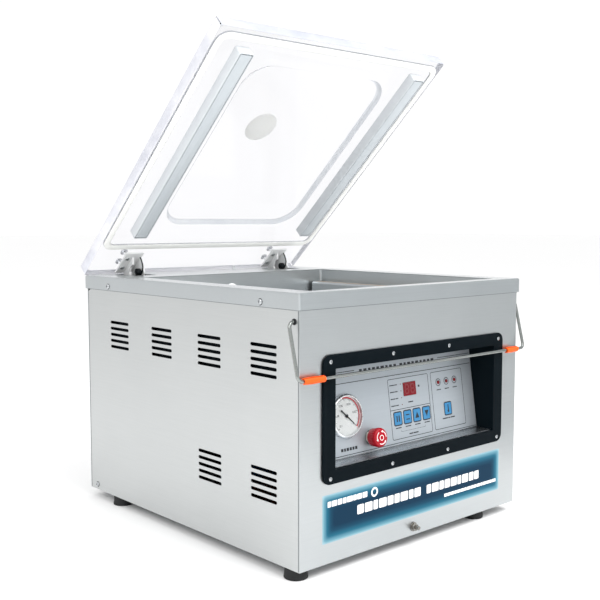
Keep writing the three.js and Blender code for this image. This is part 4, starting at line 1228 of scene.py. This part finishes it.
# %% Makers of strokes, bands and figures
black_ink = moulded("Black ink", "#15181C", "#22272D", rough=(0.45, 0.6), scale=500.0, depth=0.02)
red_ink = moulded("Red ink", "#C01228", "#D8243E", rough=(0.45, 0.6), scale=500.0, depth=0.02)
REST_DEG, SWEEP_DEG = -42.0, 270.0
FACE_Z = 1.93 * MM


def strokes(count, radius, length, width, material):
    """Printed strokes round the scale, in mm."""
    source = line_object([(0, 0, 0), (0, 0, MM)])
    return grown("strokes", source, stroke_tree, {
        "Count": count, "Radius": radius * MM, "Start angle": math.radians(REST_DEG),
        "Sweep": math.radians(SWEEP_DEG), "Length": length * MM, "Width": width * MM, "Thickness": 0.06 * MM,
        "Finish": material})


def arc_band(r0, r1, start_deg, end_deg, z0, z1, steps=48):
    """A flat curved band as a closed solid."""
    loops = []
    for i in range(steps + 1):
        angle = math.radians(start_deg + (end_deg - start_deg) * i / steps)
        c, s = math.cos(angle), math.sin(angle)
        loops.append([Vector((r * c, r * s, z)) for r, z in ((r0, z0), (r1, z0), (r1, z1), (r0, z1))])
    return loft("band", loops)


def lettering(text, size, x, y, z):
    """Figures as a thin solid mesh, centred on a point."""
    curve = bpy.data.curves.new("figures", "FONT")
    curve.body = text
    curve.size = size
    curve.extrude = 0.03 * MM
    curve.align_x, curve.align_y = "CENTER", "CENTER"
    obj = bpy.data.objects.new("figures", curve)
    scene.collection.objects.link(obj)
    bpy.context.view_layer.update()
    mesh = bpy.data.meshes.new_from_object(obj.evaluated_get(bpy.context.evaluated_depsgraph_get()))
    bpy.data.objects.remove(obj)
    mesh.transform(Matrix.Translation((x, y, z)))
    result = bpy.data.objects.new("figures", mesh)
    scene.collection.objects.link(result)
    return result


print("scale from", REST_DEG, "over", SWEEP_DEG, "deg")

# %% Scale, figures and coloured arc
FIGURES, FIGURE_SIZE, FIGURE_R = ("0", "0.02", "0.04", "0.06", "0.08", "0.1"), 4.6 * MM, 17.6 * MM
on_face = Matrix.Translation((0, 0, FACE_Z))
dial_print = [moved(strokes(11, 23.0, 3.2, 0.55, black_ink), on_face),
              moved(strokes(51, 23.8, 1.6, 0.28, black_ink), on_face),
              arc_band(24.5 * MM, 24.8 * MM, REST_DEG, REST_DEG + SWEEP_DEG, 1.9 * MM, 1.96 * MM)]
for k, figure in enumerate(FIGURES):
    angle = math.radians(REST_DEG + SWEEP_DEG * k / (len(FIGURES) - 1))
    dial_print.append(lettering(figure, FIGURE_SIZE, FIGURE_R * math.cos(angle), FIGURE_R * math.sin(angle),
                                FACE_Z))
scale_print = moved(join_pieces("dial_scale", dial_print), AT_GAUGE)
settle(scale_print, "casing", black_ink)
red_arc = moved(arc_band(25.1 * MM, 27.2 * MM, REST_DEG, 100, 1.9 * MM, 1.97 * MM), AT_GAUGE)
red_arc.name = "dial_red_arc"
settle(red_arc, "casing", red_ink)
print("printed on the dial", len(dial_print))


# %% Pointer
def make_pointer():
    """A tapered blade with a short tail on a turned hub."""
    bm = bmesh.new()
    outline = [(-13, -1.5), (-9, -1.0), (0, -1.1), (20, -0.35), (24, 0), (20, 0.35), (0, 1.1), (-9, 1.0),
               (-13, 1.5), (-14, 0)]
    loft_into(bm, [[Vector((x * MM, y * MM, z * MM)) for x, y in outline] for z in (3.1, 3.4)])
    hub = [(0, -4.5), (1.2, -4.5), (1.2, 2.7), (2.6, 2.8), (2.6, 3.9), (2.1, 4.3), (0, 4.4)]
    turn_into(bm, scaled_profile(hub), steps=28)
    return finished("gauge_pointer", bm, merge=True)


pointer = moved(make_pointer(), AT_GAUGE @ Matrix.Rotation(math.radians(REST_DEG), 4, "Z"))
settle(pointer, "needle", black_metal, ["gauge_needle"])
print("pointer faces", len(pointer.data.polygons))

# %% [markdown]
# ## Emergency stop
# A red mushroom on a metal collar. Its rim is fluted for grip, and three white arrows on its face show the
# way it turns to release. The rim is a turned shape whose radius is modulated round the axis.

# %% Mushroom head
AT_ESTOP = PANEL @ Matrix.Translation((-0.074, -0.1005, 0))
HEAD_SHAPE = [
    (0, 17.4), (3.4, 17.4), (3.4, 10.8), (11.0, 10.8), (11.0, 7.6), (11.3, 7.4), (13.0, 7.4), (13.3, 7.8),
    (13.4, 13.2), (13.7, 14.8), (14.0, 16.0), (14.2, 17.2), (14.2, 20.2), (13.9, 21.6), (13.0, 22.9),
    (11.4, 23.8), (9.0, 24.2), (5.0, 24.4), (0, 24.4),
]
FLUTES, FLUTE_DEPTH, FLUTE_STEPS = 24, 0.045, 192
FLUTE_LOW, FLUTE_HIGH, FLUTE_FROM = 14.5 * MM, 22.5 * MM, 12.9 * MM


def make_mushroom():
    """The turned head with its flutes pressed into the rim."""
    bm = bmesh.new()
    turn_into(bm, scaled_profile(HEAD_SHAPE), steps=FLUTE_STEPS)
    for vert in bm.verts:
        if FLUTE_LOW < vert.co.z < FLUTE_HIGH and vert.co.xy.length > FLUTE_FROM:
            angle = math.atan2(vert.co.y, vert.co.x)
            shrink = 1 - FLUTE_DEPTH * (0.5 + 0.5 * math.cos(FLUTES * angle)) ** 3
            vert.co.x *= shrink
            vert.co.y *= shrink
    return finished("estop_mushroom", bm, AT_ESTOP, 50, merge=True)


mushroom = make_mushroom()
settle(mushroom, "estop_head", red_gloss, ["estop_head"])
print("emergency stop at", AT_ESTOP.translation)

# %% Arrows, collar and shaft
white_ink = moulded("White ink", "#F0F1F1", "#FAFAFA", rough=(0.4, 0.55), scale=500.0, depth=0.02)
arrow_parts = []
for k in range(3):
    spin = Matrix.Rotation(math.radians(120 * k), 4, "Z")
    arrow_parts.append(moved(arc_band(8.8 * MM, 9.8 * MM, 0, 72, 24.0 * MM, 24.36 * MM, 12), spin))
    tip = [(r * MM * math.cos(math.radians(a)), r * MM * math.sin(math.radians(a)))
           for r, a in ((9.3, 90), (7.6, 70), (11.0, 70))]
    tip_loops = [[Vector((x, y, z * MM)) for x, y in tip] for z in (23.9, 24.38)]
    arrow_parts.append(moved(loft("tip", tip_loops), spin))
arrow_parts.append(arc_band(3.2 * MM, 4.0 * MM, 0, 359.9, 24.3 * MM, 24.54 * MM, 32))
arrows = moved(join_pieces("estop_arrows", arrow_parts), AT_ESTOP)
settle(arrows, "estop_head", white_ink)
collar = fine_copy("estop_collar", "estop_ring", 0.3 * MM)
settle(collar, "casing", dull_nickel, ["estop_collar"])
shaft = fine_copy("estop_stem", "estop_shaft", 0.3 * MM)
settle(shaft, "estop_stem", black_plastic, ["estop_stem"])
print("arrow parts", len(arrow_parts))

# %% [markdown]
# ## Printed control film
# A polyester film covers the sloping panel. Its frames, rules and key borders are thin raised ink. Words are
# left off: short plain dashes stand where a caption would be.

# %% Film and ink
film_grey = brushed("Printed film", "#A8AFB5", "#BAC1C7", (6.0, 300.0, 300.0), rough=(0.38, 0.5), depth=0.02,
                    metallic=0.6)
panel_film = fine_copy("panel_overlay", "control_film", 0.12 * MM, segments=1)
settle(panel_film, "casing", film_grey, ["panel_overlay"])

INK_LOW, INK_HIGH = 1.12, 1.17  # the ink stands on the film, in mm
ink_parts = []


def ink_frame(x, y, w, h, corner, width):
    """A printed outline of a rounded rectangle, in mm on the panel."""
    half = width / 2
    rings = [rounded_loop(x * MM, y * MM, (w + 2 * grow) * MM, (h + 2 * grow) * MM, (corner + grow) * MM,
                          z * MM, 5)
             for grow, z in ((-half, INK_LOW), (half, INK_LOW), (half, INK_HIGH), (-half, INK_HIGH))]
    ink_parts.append(loft("ink", rings, closed=True))


def ink_bar(x0, x1, y0, y1):
    """A printed filled bar."""
    bm = bmesh.new()
    block_into(bm, (x0 * MM, y0 * MM, INK_LOW * MM), (x1 * MM, y1 * MM, INK_HIGH * MM))
    ink_parts.append(finished("ink", bm))


def caption(x, y, length, height=1.0, dashes=(0.42, 0.2, 0.3)):
    """Short dashes in place of a printed caption, centred on x."""
    gap = 0.04 * length
    scale_to = (length - gap * (len(dashes) - 1)) / sum(dashes)
    left = x - length / 2
    for part in dashes:
        ink_bar(left, left + part * scale_to, y - height / 2, y + height / 2)
        left += part * scale_to + gap


print("film", panel_film.name)

# %% Frames, rules and captions
KEY_X = {"left": -11.0, "right": 11.0, "up": 32.7, "down": 55.0, "heat": 108.0}
KEY_Y, KEY_W, KEY_H = -82.4, 15.6, 18.4
LAMP_X, LAMP_Y = (90, 110, 130), -38.6
MODE_Y = [-31.2 - 10.4 * k for k in range(4)]
TIMER_KEYS = [KEY_X[name] for name in ("left", "right", "up", "down")]
TITLE_LEFT = (0.1, 0.12, 0.09, 0.11, 0.1, 0.13, 0.09, 0.11, 0.1)
TITLE_RIGHT = (0.11, 0.09, 0.12, 0.1, 0.13, 0.09, 0.11, 0.1, 0.12)
for x0, x1, y in ((-174, -94, 0.0), (94, 174, 0.0), (-174, 174, -16.2), (-174, 174, -118.6)):
    ink_bar(x0, x1, y - 0.5, y + 0.5)
ink_frame(20, -67.5, 92, 91, 2.5, 0.9)
ink_bar(-26, 66, -69.2, -68.3)
ink_frame(111.3, -66.9, 76.5, 90.4, 2.5, 0.9)
for x in KEY_X.values():
    ink_frame(x, KEY_Y, KEY_W + 1.9, KEY_H + 1.9, 2.4, 1.5)
for x in LAMP_X:
    ink_frame(x, LAMP_Y, 11.0, 11.0, 5.4, 1.1)
    caption(x, -50.4, 10.5, 1.5, (0.5, 0.3))
for x in TIMER_KEYS:
    caption(x, -96.4, 12.5, 1.6, (0.3, 0.5))
caption(KEY_X["heat"], -97.2, 30, 1.8, (0.5, 0.2, 0.4))
for y in MODE_Y:
    caption(-14.5, y, 17, 1.5, (0.6, 0.35))
caption(21.5, -60.5, 11, 1.8, (0.7,))
caption(43, -38.5, 4, 3.2, (0.7,))
caption(22, -108.4, 21, 1.8, (0.4, 0.5))
ink_bar(-6, 50, -103.0, -102.6)
ink_bar(-6, -5.6, -102.6, -100.4)
ink_bar(49.6, 50, -102.6, -100.4)
caption(-119, -110.6, 33, 4.4, (0.16, 0.13, 0.17, 0.15, 0.14, 0.16))
caption(-44, -2.6, 80, 6.4, TITLE_LEFT)
caption(44, -2.6, 80, 6.4, TITLE_RIGHT)
panel_print = moved(join_pieces("panel_print", ink_parts), PANEL)
settle(panel_print, "casing", black_ink)
print("ink marks", len(ink_parts))

# %% Keys and their symbols
key_blue = moulded("Blue key film", "#256F9E", "#3585B6", rough=(0.35, 0.5), scale=700.0, depth=0.06)
KEY_DOME = [(0, 0.8), (0, 1.45), (0.15, 1.62), (0.5, 1.7)]  # (inset, height) of the rings of a key


def bar_outline(x0, x1, y0, y1):
    """The corners of an upright rectangle."""
    return [(x0, y0), (x1, y0), (x1, y1), (x0, y1)]


bulb = [(2.3 * math.cos(math.radians(30 * k)), -3.8 + 2.3 * math.sin(math.radians(30 * k)))
        for k in range(12)]
symbols = {
    "left": [bar_outline(-3.6, -1.2, -4.6, 4.6), bar_outline(1.2, 3.6, -4.6, 4.6)],
    "right": [bar_outline(-4.0, 4.0, -4.2, -2.6), bar_outline(-4.0, 4.0, 2.6, 4.2)],
    "up": [[(-4.6, -4.4), (4.6, -4.4), (0, 5.0)]],
    "down": [[(0, -5.0), (4.6, 4.4), (-4.6, 4.4)]],
    "heat": [bar_outline(-1.0, 1.0, -1.8, 6.4), bulb],
}
for name, x in KEY_X.items():
    rings = [rounded_loop(x * MM, KEY_Y * MM, (KEY_W - 2 * inset) * MM, (KEY_H - 2 * inset) * MM,
                          (1.7 - inset) * MM, z * MM, 5) for inset, z in KEY_DOME]
    cap = loft(f"key_cap_{name}", rings, PANEL, smooth_deg=50)
    settle(cap, f"key_{name}", key_blue, [f"key_{name}"])
    marks = bmesh.new()
    for outline in symbols[name]:
        loft_into(marks, [[Vector(((x + u) * MM, (KEY_Y + v) * MM, z * MM)) for u, v in outline]
                          for z in (1.71, 1.76)])
    mark = moved(finished(f"key_mark_{name}", marks), PANEL)
    settle(mark, f"key_{name}", black_ink)
print("keys", len(KEY_X))

# %% [markdown]
# The display is a tinted window over two seven-segment figures, which glow. The three lamps are small red
# domes, each on a pale ground.

# %% Finishes of the display and the lamps
def glowing(name, tint, strength):
    """A lit plastic whose glow is a little uneven."""
    material, tree, shader = new_material(name)
    cloud = group_node(tree, marks_group, Scale=80.0, Contrast=0.5)
    bright = linear(tint)
    dim = tuple([0.75 * c for c in bright[:3]] + [1])
    tree.links.new(shade_between(tree, cloud.outputs["Marks"], bright, bright), shader.inputs["Base Color"])
    tree.links.new(shade_between(tree, cloud.outputs["Marks"], dim, bright), shader.inputs["Emission Color"])
    tree.links.new(range_of(tree, cloud.outputs["Marks"], 0.25, 0.4), shader.inputs["Roughness"])
    shader.inputs["Emission Strength"].default_value = strength
    return material


window_red = moulded("Tinted window", "#700D18", "#821822", rough=(0.15, 0.25), scale=200.0, depth=0.01,
                     gloss=0.35)
segment_red = glowing("Lit segment", "#6E0F18", 0.25)
lamp_red = moulded("Red lamp", "#5E0810", "#7E0F1B", rough=(0.2, 0.3), scale=200.0, depth=0.02, gloss=0.3)
print("display finishes ready")

# %% Display
DISPLAY_X, DISPLAY_Y, DIGIT_APART = 21.5, -40.3, 6.4
window = fine_copy("display_window", "display_lens", 0.3 * MM)
settle(window, "casing", window_red, ["display_window"])
segments = bmesh.new()
for digit in (-DIGIT_APART, DIGIT_APART):
    cx, cy, half_w, half_h, thick = DISPLAY_X + digit, DISPLAY_Y, 3.6, 6.4, 0.75
    bars = [(cx - half_w, cx + half_w, cy + v - thick, cy + v + thick) for v in (-half_h, 0, half_h)]
    bars += [(cx + u - thick, cx + u + thick, cy + v0 + 0.95, cy + v1 - 0.95)
             for u in (-half_w, half_w) for v0, v1 in ((-half_h, 0), (0, half_h))]
    for x0, x1, y0, y1 in bars:
        block_into(segments, (x0 * MM, y0 * MM, 1.62 * MM), (x1 * MM, y1 * MM, 1.66 * MM))
figures = moved(finished("display_figures", segments), PANEL)
settle(figures, "casing", segment_red)
print("display on the panel at", DISPLAY_X, DISPLAY_Y)

# %% Lamps
lamp_places = [(PANEL @ Vector((x * MM, LAMP_Y * MM, INK_LOW * MM)), normal) for x in LAMP_X]
lamp_shape = [(0, 0), (2.9, 0), (2.9, 0.7), (2.4, 1.4), (1.4, 1.9), (0, 2.1)]
lamp = turning("lamp", scaled_profile(lamp_shape), steps=28)
lamps = scatter("status_lamps", lamp, lamp_places, lamp_red, seed=1)
settle(lamps, "casing", lamp_red)
dot_places = [(PANEL @ Vector((1.6 * MM, y * MM, INK_LOW * MM)), normal) for y in MODE_Y]
dot = turning("dot", scaled_profile([(0, 0), (0.8, 0), (0.8, 0.3), (0.5, 0.6), (0, 0.7)]), steps=14)
dots = scatter("mode_lamps", dot, dot_places, lamp_red, seed=1)
settle(dots, "casing", lamp_red)
print("lamps", len(lamp_places) + len(dot_places))

# %% [markdown]
# ## Front label
# A long printed film below the panel: a deep blue field whose edges fade to pale cyan. The fade is computed
# from the distance to the nearest edge. Plain white bars stand where a name would be.

# %% Label print
LABEL_HALF_W, LABEL_LOW, LABEL_HIGH = 200.0, 44.0, 112.0
LABEL_MID, LABEL_TALL = (LABEL_LOW + LABEL_HIGH) / 2, LABEL_HIGH - LABEL_LOW
# position from the edge to the middle, and colour
LABEL_STOPS = [(0.0, "#A9C2CB"), (0.16, "#6B99A8"), (0.42, "#26637A"), (0.72, "#194259"), (1.0, "#133248")]


def label_blue():
    """A printed fade that follows the distance to the label's nearest edge."""
    material, tree, shader = new_material("Label print")
    place = add(tree, "ShaderNodeTexCoord")
    parts = add(tree, "ShaderNodeSeparateXYZ", {0: place.outputs["Object"]})
    side = add(tree, "ShaderNodeMath", {0: parts.outputs["X"]}, operation="ABSOLUTE")
    to_side = add(tree, "ShaderNodeMath", {0: LABEL_HALF_W * MM, 1: side.outputs[0]}, operation="SUBTRACT")
    height = add(tree, "ShaderNodeMath", {0: parts.outputs["Z"], 1: LABEL_MID * MM}, operation="SUBTRACT")
    away = add(tree, "ShaderNodeMath", {0: height.outputs[0]}, operation="ABSOLUTE")
    to_top = add(tree, "ShaderNodeMath", {0: LABEL_TALL / 2 * MM, 1: away.outputs[0]}, operation="SUBTRACT")
    nearest = add(tree, "ShaderNodeMath", {0: to_side.outputs[0], 1: to_top.outputs[0], 2: 0.010},
                  operation="SMOOTH_MIN")
    fade = add(tree, "ShaderNodeMapRange",
               {"Value": nearest.outputs[0], "From Min": -0.001, "From Max": 0.022})
    ramp = add(tree, "ShaderNodeValToRGB", {0: fade.outputs["Result"]})
    stops = ramp.color_ramp.elements
    stops[0].position, stops[0].color = 0.0, linear(LABEL_STOPS[0][1])
    stops[1].position, stops[1].color = 1.0, linear(LABEL_STOPS[-1][1])
    for position, code in LABEL_STOPS[1:-1]:
        stops.new(position).color = linear(code)
    tree.links.new(ramp.outputs["Color"], shader.inputs["Base Color"])
    cloud = group_node(tree, marks_group, Scale=18.0, Contrast=0.8)
    tree.links.new(range_of(tree, cloud.outputs["Marks"], 0.3, 0.42), shader.inputs["Roughness"])
    shader.inputs["Specular IOR Level"].default_value = 0.05
    return material


print("label stops", len(LABEL_STOPS))

# %% Label film
AT_LABEL = Matrix.Translation((0, front_lo.y - 0.02 * MM, 0)) @ Matrix.Rotation(math.radians(90), 4, "X")


def label_ring(x, z, w, h, corner, proud):
    """A rounded rectangle on the front, in mm."""
    return rounded_loop(x * MM, z * MM, w * MM, h * MM, corner * MM, proud * MM, 5)


film_rings = [label_ring(0, LABEL_MID, 2 * LABEL_HALF_W, LABEL_TALL, 1.0, proud) for proud in (0, 0.2)]
settle(loft("front_label", film_rings, AT_LABEL), "casing", label_blue())
print("label on the front at y", round(front_lo.y, 4))

# %% White blocks and ring
INK_FACES = (0.22, 0.27)
bars = bmesh.new()


def block_word(x0, x1, z, h, count):
    """A row of plain blocks of uneven width, as tall as lettering would be."""
    widths = [1 + 0.28 * math.sin(2.4 * k + x0) for k in range(count)]
    gap = 0.17 * h
    unit = (x1 - x0 - gap * (count - 1)) / sum(widths)
    left = x0
    for width in widths:
        w = width * unit
        loft_into(bars, [label_ring(left + w / 2, z, w, h, 0.12 * h, proud) for proud in INK_FACES])
        left += w + gap


block_word(-132, 4, 79, 13.5, 9)
block_word(18, 146, 79, 13.5, 9)
block_word(-190, -112, 98, 8, 8)
block_word(60, 192, 61, 5, 16)
RING_X, RING_Z, RING_STEPS = -97, 98, 48
back, face = INK_FACES
ring_loops = []
for r, proud in ((7.0, back), (7.0, face), (4.2, face), (4.2, back)):
    turns = [2 * math.pi * k / RING_STEPS for k in range(RING_STEPS)]
    ring_loops.append([Vector(((RING_X + r * math.cos(a)) * MM, (RING_Z + r * math.sin(a)) * MM, proud * MM))
                       for a in turns])
loft_into(bars, ring_loops, closed=True)
label_bars = moved(finished("label_bars", bars), AT_LABEL)
settle(label_bars, "casing", white_ink)
print("block faces", len(label_bars.data.polygons))

# %% [markdown]
# ## Feet, suction fitting and seal bars
# The feet are turned rubber with a lip. The suction fitting in the chamber's rear wall is a white moulded nut
# with two wings. Each seal bar carries a heating wire under a brown glass-cloth tape.

# %% Feet
FOOT_SHAPE = [
    (0, 0), (5.0, 0), (5.4, 0.8), (12.5, 0.8), (13.0, 0), (16.0, 0), (16.8, 0.5), (17.0, 1.6), (16.5, 5.0),
    (16.0, 11.0), (15.8, 13.6), (15.2, 14.4), (14.0, 14.7), (3.9, 14.7), (3.9, 23.6), (3.4, 24.0), (0, 24.0),
]
FEET = ("foot_front_left", "foot_rear_left", "foot_front_right", "foot_rear_right")
for node in FEET:
    low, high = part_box(node)
    foot_place = Matrix.Translation(((low.x + high.x) / 2, (low.y + high.y) / 2, low.z))
    foot = turning(f"rubber_{node}", scaled_profile(FOOT_SHAPE), foot_place)
    settle(foot, "casing", black_rubber, [node])
print("feet", len(FEET))

# %% Suction fitting
NUT_SHAPE = [
    (0, 11.6), (5.5, 11.2), (8.6, 9.2), (10.2, 6.2), (11.6, 4.4), (12.0, 3.2), (12.0, 0.8), (11.6, 0.35),
    (8.0, 0.35), (8.0, -7.0), (9.5, -7.2), (8.6, -12.0), (9.0, -12.4), (8.0, -19.6), (4.0, -19.8),
    (4.0, -12.0), (0, -12.0),
]
WING_FROM, WING_CORE = 3.3 * MM, 1.0 * MM  # what is beyond these is narrowed into two wings


def suction_fitting():
    """A turned nut with its front narrowed into two wings."""
    low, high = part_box("vacuum_port")
    centre = ((low.x + high.x) / 2, low.y + 12 * MM, (low.z + high.z) / 2)
    bm = bmesh.new()
    turn_into(bm, scaled_profile(NUT_SHAPE), steps=96)
    for vert in bm.verts:
        if vert.co.z > WING_FROM and vert.co.xy.length > WING_CORE:
            angle = math.atan2(vert.co.y, vert.co.x)
            vert.co.y *= 0.62 + 0.38 * abs(math.cos(angle)) ** 0.5
    place = Matrix.Translation(centre) @ Matrix.Rotation(math.radians(90), 4, "X")
    return finished("suction_nut", bm, place, 50, merge=True)


nut = suction_fitting()
settle(nut, "casing", white_plastic, ["vacuum_port"])
print("suction nut faces", len(nut.data.polygons))

# %% Tape over the heating wires
TAPE_STEPS = [(8.5, 0.02), (8.5, 0.14), (2.4, 0.30), (1.2, 0.34)]  # (half width, height), over the wire
TAPE_BACK = 2.0  # from each end of the bar
for side in ("left", "right"):
    low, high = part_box(f"seal_bar_{side}")
    middle_x, middle_y = (low.x + high.x) / 2, (low.y + high.y) / 2
    length = high.y - low.y - 2 * TAPE_BACK * MM
    tape_rings = [rounded_loop(middle_x, middle_y, 2 * half * MM, length, 0.3 * MM, high.z + up * MM, 2)
                  for half, up in TAPE_STEPS]
    settle(loft(f"bar_tape_{side}", tape_rings, smooth_deg=50), f"bar_{side}", ptfe_tape)
print("tape length", round(length, 3))
